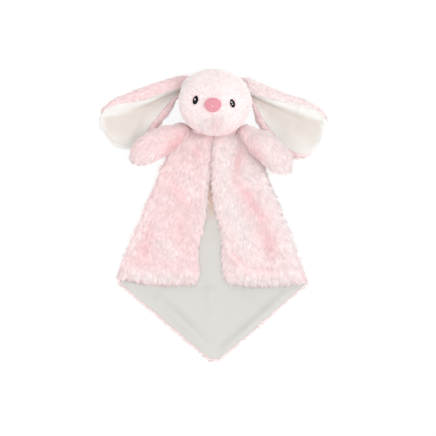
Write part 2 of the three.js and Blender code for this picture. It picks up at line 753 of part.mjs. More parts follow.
function edgeAt(edge, y) {
  for (let i = 0; i + 1 < edge.length; i += 1) {
    const [high, low] = [edge[i], edge[i + 1]];
    if (y <= high.y && y >= low.y) return THREE.MathUtils.mapLinear(y, high.y, low.y, high.x, low.x);
  }
  return edge[0].x;
}

const comforter = new THREE.Group();
comforter.add(...backParts(), ...padParts(), ...headParts(), ...noseParts());
for (const side of sides) {
  comforter.add(...flapParts(side), ...earParts(side), ...armParts(side), ...eyeParts(side));
}

export default comforter;
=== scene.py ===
import json
import math

import bpy
import numpy as np
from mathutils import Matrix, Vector, kdtree
from mathutils.bvhtree import BVHTree


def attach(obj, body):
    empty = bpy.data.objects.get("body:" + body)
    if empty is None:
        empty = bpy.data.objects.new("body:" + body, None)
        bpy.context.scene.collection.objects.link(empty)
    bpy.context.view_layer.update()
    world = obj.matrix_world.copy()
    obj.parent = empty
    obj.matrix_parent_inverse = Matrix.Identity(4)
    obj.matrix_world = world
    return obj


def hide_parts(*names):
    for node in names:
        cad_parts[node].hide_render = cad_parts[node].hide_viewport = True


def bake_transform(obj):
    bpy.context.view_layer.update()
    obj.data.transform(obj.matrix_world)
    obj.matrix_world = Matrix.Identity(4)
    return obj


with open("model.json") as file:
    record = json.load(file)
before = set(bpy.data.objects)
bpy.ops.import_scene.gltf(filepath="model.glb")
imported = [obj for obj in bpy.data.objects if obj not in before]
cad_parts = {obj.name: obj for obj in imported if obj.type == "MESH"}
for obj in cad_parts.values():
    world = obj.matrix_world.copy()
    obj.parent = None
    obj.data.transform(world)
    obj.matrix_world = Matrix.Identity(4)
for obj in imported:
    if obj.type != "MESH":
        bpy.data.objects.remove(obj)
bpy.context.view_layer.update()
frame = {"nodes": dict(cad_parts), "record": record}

# The comforter lies on its back and is seen from straight above. Lengths are in metres.
mm = 0.001
sides = ("left", "right")
outward = {"left": -1.0, "right": 1.0}

photo = {
    "side": 436,  # pixels
    "pixel": 1.2 * mm,  # one pixel at the height of the blanket
    "origin": (214.4, 216.0),  # pixel over the frame's origin
    "distance": 3.2,
    "sensor": 36.0,  # millimetres, as Blender counts it
}


def fromPhoto(x, y, height=0.0):
    # What is nearer to the camera shows further from the middle of the picture
    originX, originY = photo["origin"]
    half = photo["side"] / 2
    flat = np.array([(x - originX) * photo["pixel"], (originY - y) * photo["pixel"]])
    middle = np.array([(half - originX) * photo["pixel"], (originY - half) * photo["pixel"]])
    return flat + (middle - flat) * (height / photo["distance"])


# Small helpers
def selectNone():
    bpy.ops.object.select_all(action="DESELECT")


def selectOnly(piece):
    if bpy.context.object and bpy.context.object.mode != "OBJECT":
        bpy.ops.object.mode_set(mode="OBJECT")
    selectNone()
    piece.select_set(True)
    bpy.context.view_layer.objects.active = piece


def applyAll(piece):
    selectOnly(piece)
    for modifier in list(piece.modifiers):
        bpy.ops.object.modifier_apply(modifier=modifier.name)


def editMesh(*tools):
    # Runs mesh tools on all of the active object
    bpy.ops.object.mode_set(mode="EDIT")
    bpy.ops.mesh.select_all(action="SELECT")
    for tool, settings in tools:
        tool(**settings)
    bpy.ops.object.mode_set(mode="OBJECT")


weld = (bpy.ops.mesh.remove_doubles, {"threshold": 0.00001})
closeHoles = (bpy.ops.mesh.fill_holes, {"sides": 0})
faceOutwards = (bpy.ops.mesh.normals_make_consistent, {"inside": False})


def readPoints(mesh, label="co"):
    values = np.empty(len(mesh.vertices) * 3)
    mesh.vertices.foreach_get(label, values)
    return values.reshape(-1, 3)


def writePoints(mesh, points):
    mesh.vertices.foreach_set("co", np.ascontiguousarray(points, dtype=np.float32).ravel())
    mesh.update()


def newPiece(name, data):
    piece = bpy.data.objects.new(name, data)
    bpy.context.collection.objects.link(piece)
    return piece


def bvhOf(piece):
    points = [vertex.co.copy() for vertex in piece.data.vertices]
    return BVHTree.FromPolygons(points, [face.vertices[:] for face in piece.data.polygons])


def nearestOf(places):
    # Finds the nearest of some places by its number
    tree = kdtree.KDTree(len(places))
    for number, place in enumerate(places):
        tree.insert(place, number)
    tree.balance()
    return lambda place: tree.find(place)[1]


def unit(vectors):
    return vectors / np.maximum(np.linalg.norm(vectors, axis=-1, keepdims=True), 1e-9)


def awayFrom(points, spot):
    return np.linalg.norm(points[:, :2] - spot, axis=1)


def bell(away, reach, power=2):
    return np.exp(-((away / reach) ** power))


def between(first, second, share):
    return first + (second - first) * share


def smoothStep(low, high, values):
    share = np.clip((values - low) / (high - low), 0, 1)
    return share * share * (3 - 2 * share)


def withHeight(places, height):
    # Points of the plan as points in space
    return np.concatenate([places, np.broadcast_to(height, places.shape[:-1])[..., None]], axis=-1)


def softNoise(points, size, seed, waves=7):
    rng = np.random.default_rng(seed)
    total = np.zeros(len(points))
    for _ in range(waves):
        direction = rng.normal(size=3)
        direction /= np.linalg.norm(direction)
        pitch = 2 * math.pi / (size * rng.uniform(0.7, 1.6))
        total += np.sin(points @ direction * pitch + rng.uniform(0, 2 * math.pi))
    return total / math.sqrt(waves)


def curveThrough(points, shares):
    points = np.asarray(points, float)
    last = len(points) - 1
    place = np.clip(shares, 0, 1) * last
    index = np.minimum(place.astype(int), last - 1)
    t = (place - index)[:, None]
    before, start = points[np.maximum(index - 1, 0)], points[index]
    end, after = points[index + 1], points[np.minimum(index + 2, last)]
    v0, v1 = (end - before) / 2, (after - start) / 2
    cubic = (2 * start - 2 * end + v0 + v1) * t**3
    return cubic + (-3 * start + 3 * end - 2 * v0 - v1) * t**2 + v0 * t + start


def evenCurve(points, shares, steps=400):
    dense = curveThrough(points, np.linspace(0, 1, steps))
    lengths = np.concatenate([[0], np.cumsum(np.linalg.norm(np.diff(dense, axis=0), axis=1))])
    wanted = np.clip(shares, 0, 1) * lengths[-1]
    return np.stack([np.interp(wanted, lengths, dense[:, i]) for i in range(dense.shape[1])], axis=1)


# Colours are linear, as Blender stores them
def fromScreen(red, green, blue):
    share = [value / 255 for value in (red, green, blue)]
    return tuple(s / 12.92 if s <= 0.04045 else ((s + 0.055) / 1.055) ** 2.4 for s in share) + (1.0,)


fullWhite = (1.0, 1.0, 1.0, 1.0)
colours = {
    "pinkTip": fromScreen(255, 252, 251),
    "pinkRoot": fromScreen(255, 240, 239),
    "pinkPatch": fromScreen(255, 247, 246),
    # painted shade: the deep pink that the pile turns to in valleys, creases and on sides away from the key
    # light
    "pinkDeepShade": fromScreen(252, 202, 204),
    "pinkBetween": fromScreen(243, 233, 234),
    # painted shade: the cloth under the pile, darker than the strands, as it lies in their shade
    "ground": fromScreen(244, 214, 215),
    "cream": fromScreen(225, 224, 221),
    "creamShade": fromScreen(214, 208, 200),
    # painted shade in the hollow of the ear cups
    "creamHollowShade": fromScreen(200, 189, 180),
    # a darker copy of the cream velour for the blanket's linings, which lie flat in less light: painted shade
    "creamShadedCopy": fromScreen(196, 194, 190),
    "creamShadedCopyNap": fromScreen(189, 187, 183),
    # painted shade: the warm brown of the shadow in the slit between the flaps
    "slit": fromScreen(195, 160, 143),
    "nose": fromScreen(210, 144, 154),
    "noseShade": fromScreen(210, 124, 143),
    "black": fromScreen(12, 12, 15),
    "blackShade": fromScreen(26, 26, 30),
    "white": fromScreen(250, 249, 247),
    "whiteShade": fromScreen(226, 222, 220),
}


# Shader nodes
def feed(tree, socket, source):
    # A socket takes either a value or a link
    if isinstance(source, (int, float, tuple)):
        socket.default_value = source
    else:
        tree.links.new(source, socket)


def addNode(tree, kind, settings=None, **values):
    node = tree.nodes.new(kind)
    for key, value in (settings or {}).items():
        setattr(node, key, value)
    for key, value in values.items():
        feed(tree, node.inputs[key.replace("_", " ")], value)
    return node


def addNoise(tree, place, scale, detail=3.0):
    noise = addNode(tree, "ShaderNodeTexNoise", Detail=detail, Roughness=0.55, Scale=scale, Vector=place)
    return noise.outputs["Fac"]


def addRange(tree, value, low, high, newLow, newHigh):
    values = {"Value": value, "From_Min": low, "From_Max": high, "To_Min": newLow, "To_Max": newHigh}
    return addNode(tree, "ShaderNodeMapRange", **values).outputs["Result"]


def addMath(tree, way, first, second):
    node = addNode(tree, "ShaderNodeMath", {"operation": way})
    feed(tree, node.inputs[0], first)
    feed(tree, node.inputs[1], second)
    return node.outputs[0]


def mixColours(tree, factor, first, second, way="MIX"):
    node = addNode(tree, "ShaderNodeMix", {"data_type": "RGBA", "blend_type": way})
    sockets = [socket for socket in node.inputs if socket.enabled]
    for socket, source in zip(sockets, (factor, first, second)):
        feed(tree, socket, source)
    return [socket for socket in node.outputs if socket.enabled][0]


# Camera, lamps and floor
studio = {
    "lamps": {
        "Key": {"watts": 1.15, "from": (0.5, 0.0, 1.0), "degrees": 38.0},
        "Fill": {"watts": 0.55, "from": (-0.4, -0.5, 1.0), "degrees": 60.0},
    },
    "lampHeight": 2,
    "clipEnd": 100,
    "worldStrength": 0.9,
    "floorColour": (0.97, 0.97, 0.97, 1.0),
    "floorShadow": 0.15,  # how much of the shadow the white floor keeps
    "floorSize": 6.0,
}


def addCamera():
    middle = fromPhoto(photo["side"] / 2, photo["side"] / 2)
    bpy.ops.object.camera_add(location=(middle[0], middle[1], photo["distance"]), rotation=(0, 0, 0))
    camera = bpy.context.object
    camera.name = "Camera"
    camera.data.sensor_width = photo["sensor"]
    camera.data.lens = photo["sensor"] * photo["distance"] / (photo["side"] * photo["pixel"])
    camera.data.clip_end = studio["clipEnd"]
    bpy.context.scene.camera = camera


def addSun(name, lamp):
    bpy.ops.object.light_add(type="SUN", location=(0, 0, studio["lampHeight"]))
    sun = bpy.context.object
    sun.name = name
    sun.data.energy = lamp["watts"]
    sun.data.angle = math.radians(lamp["degrees"])
    sun.rotation_euler = Vector(lamp["from"]).to_track_quat("Z", "Y").to_euler()


def splitByCamera(owner, outputKind, lights, shows, share=1.0):
    # Light comes from one shader, and the camera sees a share of another
    owner.use_nodes = True
    tree = owner.node_tree
    tree.nodes.clear()
    out = tree.nodes.new(outputKind)
    mix = tree.nodes.new("ShaderNodeMixShader")
    path = tree.nodes.new("ShaderNodeLightPath")
    feed(tree, mix.inputs["Fac"], addMath(tree, "MULTIPLY", path.outputs["Is Camera Ray"], share))
    for socket, (kind, values) in zip(mix.inputs[1:], (lights, shows)):
        feed(tree, socket, addNode(tree, kind, **values).outputs[0])
    feed(tree, out.inputs["Surface"], mix.outputs[0])


def setStage():
    addCamera()
    for name, lamp in studio["lamps"].items():
        addSun(name, lamp)
    world = bpy.data.worlds.new("Studio")
    bpy.context.scene.world = world
    splitByCamera(
        world,
        "ShaderNodeOutputWorld",
        ("ShaderNodeBackground", {"Strength": studio["worldStrength"], "Color": fullWhite}),
        ("ShaderNodeBackground", {"Strength": 1.0, "Color": fullWhite}),
    )
    bpy.ops.mesh.primitive_plane_add(size=studio["floorSize"], location=(0, 0, 0))
    floor = bpy.context.object
    floor.name = "Floor"
    material = bpy.data.materials.new("Pale_floor")
    splitByCamera(
        material,
        "ShaderNodeOutputMaterial",
        ("ShaderNodeBsdfDiffuse", {"Color": studio["floorColour"]}),
        ("ShaderNodeEmission", {"Strength": 1.0}),
        1.0 - studio["floorShadow"],
    )
    floor.data.materials.append(material)
    bpy.context.scene.view_settings.view_transform = "Standard"


# Materials
def newGroup(name, inputs):
    group = bpy.data.node_groups.new(name, "ShaderNodeTree")
    for label, value in inputs.items():
        kind = "NodeSocketColor" if isinstance(value, tuple) else "NodeSocketFloat"
        socket = group.interface.new_socket(name=label, in_out="INPUT", socket_type=kind)
        socket.default_value = value
    group.interface.new_socket(name="Color", in_out="OUTPUT", socket_type="NodeSocketColor")
    group.interface.new_socket(name="Roughness", in_out="OUTPUT", socket_type="NodeSocketFloat")
    group.interface.new_socket(name="Height", in_out="OUTPUT", socket_type="NodeSocketFloat")
    start = group.nodes.new("NodeGroupInput").outputs
    place = group.nodes.new("ShaderNodeTexCoord").outputs["Object"]
    return group, start, place


def closeGroup(group, **sources):
    end = group.nodes.new("NodeGroupOutput")
    for label, source in sources.items():
        feed(group, end.inputs[label], source)
    return group


def pileGroup():
    # Fur: darker at the root, paler at the tip, a little different from strand to strand and patch to patch,
    # and turned towards the deep pink by each strand's mark, which is mostly painted shade and, lowered on
    # ridges, a painted highlight
    inputs = {label: colours["pink" + label] for label in ("Tip", "Root", "Patch", "DeepShade", "Between")}
    group, start, place = newGroup("Pile", {**inputs, "Patch Scale": 45.0})
    strand = addNode(group, "ShaderNodeAttribute", {"attribute_name": "strand"})
    parts = addNode(group, "ShaderNodeSeparateXYZ", Vector=strand.outputs["Vector"]).outputs
    along = addMath(group, "POWER", parts["X"], 0.9)
    patch = addRange(group, addNoise(group, place, start["Patch Scale"]), 0.38, 0.66, 0.0, 0.75)
    tip = mixColours(group, patch, start["Tip"], start["Patch"])
    colour = mixColours(group, along, start["Root"], tip)
    colour = mixColours(group, parts["Z"], colour, start["DeepShade"])
    shade = mixColours(group, parts["Y"], start["Between"], fullWhite)
    shaded = mixColours(group, 1.0, colour, shade, "MULTIPLY")
    fine = addNoise(group, place, 900.0)
    roughness = addRange(group, fine, 0.3, 0.7, 0.82, 0.98)
    return closeGroup(group, Color=shaded, Roughness=roughness, Height=fine)


def velourGroup():
    # Short brushed nap: fine grain, soft patches where the nap lies another way, and painted shade towards
    # the hollow colour where a lining carries the hollow mark
    inputs = {"Colour": colours["cream"], "Shade": colours["creamShade"], "HollowShade": colours["creamHollowShade"]}
    group, start, place = newGroup("Velour", {**inputs, "Patch Scale": 38.0, "Grain Scale": 1400.0})
    patch = addRange(group, addNoise(group, place, start["Patch Scale"]), 0.35, 0.68, 0.0, 0.8)
    grain = addNoise(group, place, start["Grain Scale"], 2.0)
    soft = mixColours(group, addMath(group, "MULTIPLY", patch, 0.25), start["Colour"], start["Shade"])
    # painted shade: the lining's hollow mark turns it to the hollow colour
    hollowShade = addNode(group, "ShaderNodeAttribute", {"attribute_name": "hollowShade"})
    soft = mixColours(group, hollowShade.outputs["Fac"], soft, start["HollowShade"])
    speck = mixColours(group, addRange(group, grain, 0.35, 0.7, 0.25, 0.0), soft, start["Shade"])
    roughness = addRange(group, patch, 0.0, 1.0, 0.78, 0.92)
    return closeGroup(group, Color=speck, Roughness=roughness, Height=grain)


def threadGroup():
    # Twisted embroidery thread
    inputs = {"Colour": colours["black"], "Shade": colours["blackShade"], "Twist Scale": 900.0}
    group, start, place = newGroup("Thread", inputs)
    values = {"Distortion": 1.5, "Detail": 1.0, "Scale": start["Twist Scale"], "Vector": place}
    wave = addNode(group, "ShaderNodeTexWave", {"bands_direction": "DIAGONAL"}, **values).outputs["Fac"]
    colour = mixColours(group, wave, start["Shade"], start["Colour"])
    roughness = addRange(group, wave, 0.0, 1.0, 0.75, 0.6)
    return closeGroup(group, Color=colour, Roughness=roughness, Height=wave)


materialBase = {"bump": 0, "sheen": 0.1, "shine": 0.15, "scatterGlow": 0, "values": {}}
materialLooks = {
    # Pale strands pass light on to each other: a little glow in their own colour, painted light, stands for
    # it
    "pile": {"name": "Pink_pile", "effect": "pile", "slot": "pink_plush", "scatterGlow": 0.06},
    # The ground cloth: darker than the strands as painted shade, with a weaker painted glow
    "plush": {
        "name": "Pink_plush_ground", "effect": "pile", "slot": "pink_plush", "scatterGlow": 0.02,
        "bump": 0.5, "depth": 0.4 * mm, "shine": 0.1,
        "values": {"Root": colours["ground"], "Patch Scale": 60.0},
    },
    "velour": {
        "name": "Cream_velour", "effect": "velour", "slot": "cream_velour",
        "bump": 0.35, "depth": 0.15 * mm, "sheen": 0.15,
    },
    # The blanket's linings: a darker copy of the velour, painted shade
    "shadedVelour": {
        "name": "Cream_velour_shaded", "effect": "velour", "slot": "cream_velour",
        "bump": 0.35, "depth": 0.15 * mm, "sheen": 0.15,
        "values": {
            "Colour": colours["creamShadedCopy"], "Shade": colours["creamShadedCopyNap"], "HollowShade": colours["slit"],
        },
    },
    "nose": {
        "name": "Nose_velour", "effect": "velour", "slot": "nose_velour",
        "bump": 0.4, "depth": 0.12 * mm, "sheen": 0.2,
        "values": {
            "Colour": colours["nose"], "Shade": colours["noseShade"],
            "Patch Scale": 90.0, "Grain Scale": 2600.0,
        },
    },
    "black": {
        "name": "Black_thread", "effect": "thread", "slot": "black_thread",
        "bump": 0.5, "depth": 0.05 * mm, "sheen": 0.0,
    },
    "white": {
        "name": "White_thread", "effect": "thread", "slot": "white_thread",
        "bump": 0.4, "depth": 0.05 * mm, "sheen": 0.0, "shine": 0.4,
        "values": {"Colour": colours["white"], "Shade": colours["whiteShade"]},
    },
}


def newMaterial(look, effects):
    look = {**materialBase, **look}
    material = bpy.data.materials.new(look["name"])
    material.use_nodes = True
    tree = material.node_tree
    shader = tree.nodes["Principled BSDF"].inputs
    shader["Sheen Weight"].default_value = look["sheen"]
    shader["Sheen Roughness"].default_value = 0.6
    shader["Specular IOR Level"].default_value = look["shine"]
    # Painted light: the emission glows in the material's own colour
    shader["Emission Strength"].default_value = look["scatterGlow"]
    effect = tree.nodes.new("ShaderNodeGroup")
    effect.node_tree = effects[look["effect"]]
    for label, value in look["values"].items():
        effect.inputs[label].default_value = value
    feed(tree, shader["Base Color"], effect.outputs["Color"])
    feed(tree, shader["Roughness"], effect.outputs["Roughness"])
    if look["scatterGlow"] > 0:
        feed(tree, shader["Emission Color"], effect.outputs["Color"])
    if look["bump"] > 0:
        height = effect.outputs["Height"]
        bump = addNode(tree, "ShaderNodeBump", Strength=look["bump"], Distance=look["depth"], Height=height)
        feed(tree, shader["Normal"], bump.outputs["Normal"])
    return material


def makeMaterials():
    effects = {"pile": pileGroup(), "velour": velourGroup(), "thread": threadGroup()}
    return {name: newMaterial(look, effects) for name, look in materialLooks.items()}


def dress(piece, material):
    piece.data.materials.clear()
    piece.data.materials.append(materials[material])


def settle(piece, material, body, *nodes):
    # Dresses a piece, lets it ride on its body and hides the imported nodes that it replaces
    dress(piece, material)
    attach(piece, body)
    if nodes:
        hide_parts(*nodes)


# Meshes made from a grid that is bent to shape
def bentGrid(name, points, closed=False):
    rows, columns = points.shape[:2]
    across = columns if closed else columns - 1
    selectNone()
    bpy.ops.mesh.primitive_grid_add(x_subdivisions=across, y_subdivisions=rows - 1, size=1)
    piece = bpy.context.object
    piece.name = name
    flat = readPoints(piece.data)
    column = np.rint((flat[:, 0] + 0.5) * across).astype(int) % (columns if closed else columns + 1)
    row = np.rint((flat[:, 1] + 0.5) * (rows - 1)).astype(int)
    writePoints(piece.data, points[row, column])
    editMesh(*([weld, closeHoles, faceOutwards] if closed else [weld, faceOutwards]))
    bpy.ops.object.shade_smooth()
    return piece


def thicken(piece, thickness):
    # Gives a sheet its thickness, below the side that faces up
    selectOnly(piece)
    if sum(face.normal.z * face.area for face in piece.data.polygons) < 0:
        editMesh((bpy.ops.mesh.flip_normals, {}))
    solid = piece.modifiers.new("Cloth thickness", "SOLIDIFY")
    solid.thickness = thickness
    solid.offset = -1
    solid.use_even_offset = True
    applyAll(piece)


def closeRings(points, bulge):
    # Rounds both ends of a stack of rings
    caps = []
    for index, step in ((0, 1), (-1, -2)):
        ring = points[index]
        middle = ring.mean(axis=0)
        away = unit(middle - points[step].mean(axis=0))
        cap = []
        for share in (0.45, 0.75, 0.93, 1.0):
            cap.append(middle + (ring - middle) * math.sqrt(max(1 - share**2, 0.0004)) + away * bulge * share)
        caps.append(cap)
    return np.concatenate([np.array(caps[0][::-1]), points, np.array(caps[1])])


# Padded pieces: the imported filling, remeshed and plumped by cloth under pressure
plumpSettings = {"frames": 20, "pressure": 4.0, "quality": 5}


def softCopy(name, node, voxel):
    piece = newPiece(name, frame["nodes"][node].data.copy())
    piece.data.materials.clear()
    selectOnly(piece)
    editMesh(weld)
    piece.data.remesh_voxel_size = voxel
    bpy.ops.object.voxel_remesh()
    return piece


def plump(piece, cap):
    scene = bpy.context.scene
    selectOnly(piece)
    before = readPoints(piece.data)
    cloth = piece.modifiers.new("Filling", "CLOTH")
    cloth.settings.quality = plumpSettings["quality"]
    cloth.settings.use_pressure = True
    cloth.settings.uniform_pressure_force = plumpSettings["pressure"]
    cloth.settings.effector_weights.gravity = 0
    cloth.point_cache.frame_start = 1
    cloth.point_cache.frame_end = plumpSettings["frames"]
    for number in range(1, plumpSettings["frames"] + 1):
        scene.frame_set(number)
    bpy.ops.object.modifier_apply(modifier=cloth.name)
    scene.frame_set(1)
    moves = readPoints(piece.data) - before
    moves -= moves.mean(axis=0)
    reach = np.linalg.norm(moves, axis=1, keepdims=True)
    moves *= np.minimum(1, cap / np.maximum(reach, 1e-9))
    writePoints(piece.data, before + moves)


def refine(piece, smoothing):
    smooth = piece.modifiers.new("Even", "SMOOTH")
    smooth.iterations = smoothing
    smooth.factor = 0.5
    fine = piece.modifiers.new("Fine", "SUBSURF")
    fine.levels = 1
    fine.render_levels = 1
    applyAll(piece)
    bpy.ops.object.shade_smooth()


def swell(piece, amount):
    grow = piece.modifiers.new("Swell", "DISPLACE")
    grow.strength = amount
    grow.mid_level = 0
    applyAll(piece)


def stuffedPiece(name, node, shape):
    skin = softCopy(name, node, shape["voxel"])
    plump(skin, shape["cap"])
    refine(skin, shape["smoothing"])
    swell(skin, shape["swell"])
    return skin


# Fur: one strand, copied all over a surface
furRules = {
    # angles in radians
    "swirls": (0.7, 0.5),  # how strongly the wide and the narrow swirl turn the strands
    "leanWave": 0.05,
    "widths": (0.8, 1.3),
    "flatness": 0.75,
    "profile": (0.7, 1.2, 0.7),  # width at the root, how it grows, how quickly it ends in a point
    "pullPower": 1.5,  # how late along a strand its tuft draws it in
    "tones": (0.4, 0.6),  # how much a strand and its tuft differ in tone
    "bakeMargin": 0.12,
    "bakeSpan": (0.7, 0.76),
    "bakeTaper": 0.8,
    "segments": 2,
    "floorClear": 0.2 * mm,
    # painted shade: how far the ground cloth is turned to the darker strand tone
    "groundShade": 0.25,
    "looseTurn": 0.9,
    "looseRise": 0.3,
    "leanSpread": 0.1,
    "leanRange": (0.1, 1.45),
    "curlRange": (0.1, 1.6),
    "lengthSpread": 0.22,
    "lengthRange": (0.45, 1.5),
    "tuftReach": 0.45,  # of a strand's length
    "rollSpread": 0.6,
    "rootSink": 0.3 * mm,
}


def strandShape(segments):
    # Three-sided blade: how far along, and where round the blade, each point lies
    selectNone()
    bpy.ops.mesh.primitive_cone_add(
        vertices=3, radius1=1, depth=1, end_fill_type="NOTHING", location=(0, 0, 0.5)
    )
    blade = bpy.context.object
    for cut in range(1, segments):
        editMesh((bpy.ops.mesh.bisect, {"plane_co": (0, 0, cut / segments), "plane_no": (0, 0, 1)}))
    editMesh(faceOutwards, (bpy.ops.mesh.quads_convert_to_tris, {}))
    blade.data.transform(blade.matrix_world)
    points = readPoints(blade.data)
    along = np.clip(points[:, 2], 0, 1)
    turn = np.arctan2(points[:, 1], points[:, 0])
    faces = np.array([face.vertices[:] for face in blade.data.polygons])
    bpy.data.objects.remove(blade)
    return along, turn, faces


def sampleSurface(skin, density, keep, rng):
    mesh = skin.data
    mesh.calc_loop_triangles()
    triangles = np.empty(len(mesh.loop_triangles) * 3, dtype=np.int32)
    mesh.loop_triangles.foreach_get("vertices", triangles)
    triangles = triangles.reshape(-1, 3)
    points, normals = readPoints(mesh), readPoints(mesh, "normal")
    corners = points[triangles]
    crossed = np.cross(corners[:, 1] - corners[:, 0], corners[:, 2] - corners[:, 0])
    area = np.linalg.norm(crossed, axis=1) / 2
    share = np.clip(keep(corners.mean(axis=1), unit(crossed)), 0, 1) * area
    count = int(share.sum() * density)
    chosen = rng.choice(len(triangles), size=count, p=share / share.sum())
    first, second = np.sqrt(rng.random(count)), rng.random(count)
    weights = np.stack([1 - first, first * (1 - second), first * second], axis=1)[:, :, None]
    roots = (points[triangles[chosen]] * weights).sum(axis=1)
    ups = unit((normals[triangles[chosen]] * weights).sum(axis=1))
    return roots, ups


def always(value):
    return lambda places: np.full(len(places), value)


def growFur(
    name, skin, look, keep, comb, pinkAt, seed, lengthAt=always(1.0), looseAt=always(0.0), softAt=always(1.0)
):
    rule = furRules
    # The cloth under the pile takes the colour of the strands that grow on it, turned towards their darker
    # tone as painted shade between the strands
    places = readPoints(skin.data)
    ground = np.full((len(places), 3), rule["groundShade"])
    ground[:, 2] = np.clip(pinkAt(places), 0, 1)
    mark = skin.data.attributes.new("strand", "FLOAT_VECTOR", "POINT")
    mark.data.foreach_set("vector", ground.astype(np.float32).ravel())

    rng = np.random.default_rng(seed)
    roots, ups = sampleSurface(skin, look["perSquareMm"] / mm**2, keep, rng)
    count = len(roots)
    flow = comb(roots, ups)
    flow = unit(flow - ups * (flow * ups).sum(axis=1, keepdims=True))
    beside = np.cross(ups, flow)
    wide, narrow = rule["swirls"]
    angle = look["swirl"] * softNoise(roots, look["swirlSize"], seed) * wide
    angle += look["swirl"] * narrow * softNoise(roots, look["swirlSize"] / 3, seed + 1)
    loose = looseAt(roots)
    angle += (look["stray"] + rule["looseTurn"] * loose) * rng.normal(size=count)
    flow = flow * np.cos(angle)[:, None] + beside * np.sin(angle)[:, None]
    lean = math.radians(look["lean"]) + rule["leanSpread"] * rng.normal(size=count)
    lean += rule["leanWave"] * softNoise(roots, look["swirlSize"] / 2, seed + 2)
    lean = np.clip(lean - rule["looseRise"] * loose, *rule["leanRange"])
    first = ups * np.cos(lean)[:, None] + flow * np.sin(lean)[:, None]
    later = np.clip(lean + math.radians(look["curl"]), *rule["curlRange"])
    last = ups * np.cos(later)[:, None] + flow * np.sin(later)[:, None]
    spread = np.clip(1 + rule["lengthSpread"] * rng.normal(size=count), *rule["lengthRange"])
    length = (look["length"] * spread * lengthAt(roots))[:, None]

    # Neighbouring tips lean together into tufts
    tips = roots + length * (first + last) / 2
    leaders = np.flatnonzero(rng.random(count) < 1 / look["perTuft"])
    nearestLeader = nearestOf(roots[leaders])
    nearest = leaders[np.array([nearestLeader(root) for root in roots])]
    pull = (tips[nearest] - tips) * look["pull"]
    reach = np.linalg.norm(pull, axis=1, keepdims=True)
    pull *= np.minimum(1, look["length"] * rule["tuftReach"] / np.maximum(reach, 1e-9))

    along, turn, faces = strandShape(rule["segments"])
    width = look["width"] * between(*rule["widths"], rng.random(count))
    atRoot, growing, pointed = rule["profile"]
    roll = rule["rollSpread"] * rng.normal(size=count)
    tone = rng.random(count)
    tuftTone = rng.random(count)[nearest]
    pink = np.clip(pinkAt(roots), 0, 1)
    shadeUps = unit(ups + np.array([0, 0, look["lift"]]))
    soft = (look["soft"] * softAt(roots))[:, None]
    points = np.empty((count, len(along), 3))
    normals = np.empty((count, len(along), 3))
    for k, (share, angleAt) in enumerate(zip(along, turn)):
        middle = roots + length * (first * (share - share**2 / 2) + last * share**2 / 2)
        middle = middle + pull * share ** rule["pullPower"]
        ahead = unit(first * (1 - share) + last * share)
        side = unit(np.cross(ups, ahead))
        ridge = np.cross(ahead, side)
        around = side * np.cos(angleAt + roll)[:, None]
        around = around + ridge * (rule["flatness"] * np.sin(angleAt + roll))[:, None]
        thick = width / 2 * (atRoot + growing * share) * (1 - share) ** pointed
        points[:, k] = middle + around * thick[:, None] - ups * (rule["rootSink"] * (1 - share))
        points[:, k, 2] = np.maximum(points[:, k, 2], rule["floorClear"])
        normals[:, k] = unit(around * (1 - soft) + shadeUps * soft)
    own, shared = rule["tones"]
    tone = 1 - look["contrast"] * (1 - own * tone - shared * tuftTone)
    return strandMesh(name, points, normals, along, turn, faces, tone, pink)


def strandMesh(name, points, normals, along, turn, faces, tone, pink):
    count, size = points.shape[:2]
    corners = (faces[None] + np.arange(count)[:, None, None] * size).reshape(-1)
    triangles = len(corners) // 3
    mesh = bpy.data.meshes.new(name)
    mesh.vertices.add(count * size)
    mesh.vertices.foreach_set("co", points.astype(np.float32).ravel())
    mesh.loops.add(len(corners))
    mesh.loops.foreach_set("vertex_index", corners.astype(np.int32))
    mesh.polygons.add(triangles)
    mesh.polygons.foreach_set("loop_start", np.arange(0, len(corners), 3, dtype=np.int32))
    mesh.update(calc_edges=True)
    mesh.polygons.foreach_set("use_smooth", np.ones(triangles, dtype=bool))
    strand = mesh.attributes.new("strand", "FLOAT_VECTOR", "POINT")
    values = np.zeros((count, size, 3), dtype=np.float32)
    values[:, :, 0] = along
    values[:, :, 1] = tone[:, None]
    # how far a strand turns to the deep pink: mostly painted shade
    values[:, :, 2] = pink[:, None]
    strand.data.foreach_set("vector", values.ravel())
    # Each strand has its own small square of the bake map
    cells = math.ceil(math.sqrt(count))
    number = np.arange(count)
    column, row = (number % cells)[:, None], (number // cells)[:, None]
    margin, (wide, tall) = furRules["bakeMargin"], furRules["bakeSpan"]
    aside = (turn / (2 * math.pi) + 0.5) * (1 - furRules["bakeTaper"] * along)
    places = np.stack([column + margin + wide * aside, row + margin + tall * along], axis=2) / cells
    mesh.uv_layers.new(name="OFBake")
    mesh.uv_layers["OFBake"].data.foreach_set("uv", places.reshape(-1, 2)[corners].astype(np.float32).ravel())
    # Strands take most of their shading from the cloth that they grow on, so the pile looks soft
    mesh.normals_split_custom_set_from_vertices(normals.reshape(-1, 3).tolist())
    print(f"  {name}: {count} strands, {triangles} triangles")
    return newPiece(name, mesh)


# Plan of the body, as in the part
plan = {
    "headCentre": (1.0 * mm, 135.107 * mm, 35.5 * mm),
    "headHalf": (45.0 * mm, 41.3 * mm, 36.0 * mm),
    "neckY": 108.592 * mm,
    "blanketHalf": 114.8 * mm,
    "blanketLength": 285.0 * mm,
    "gap": 0.3 * mm,
    "backPile": 4.6 * mm,
    "lining": 1.2 * mm,
}
plan["liningZ"] = plan["backPile"] + plan["gap"]
plan["flapLiningZ"] = plan["liningZ"] + plan["lining"] + plan["gap"]
plan["flapZ"] = plan["flapLiningZ"] + plan["lining"] + plan["gap"]


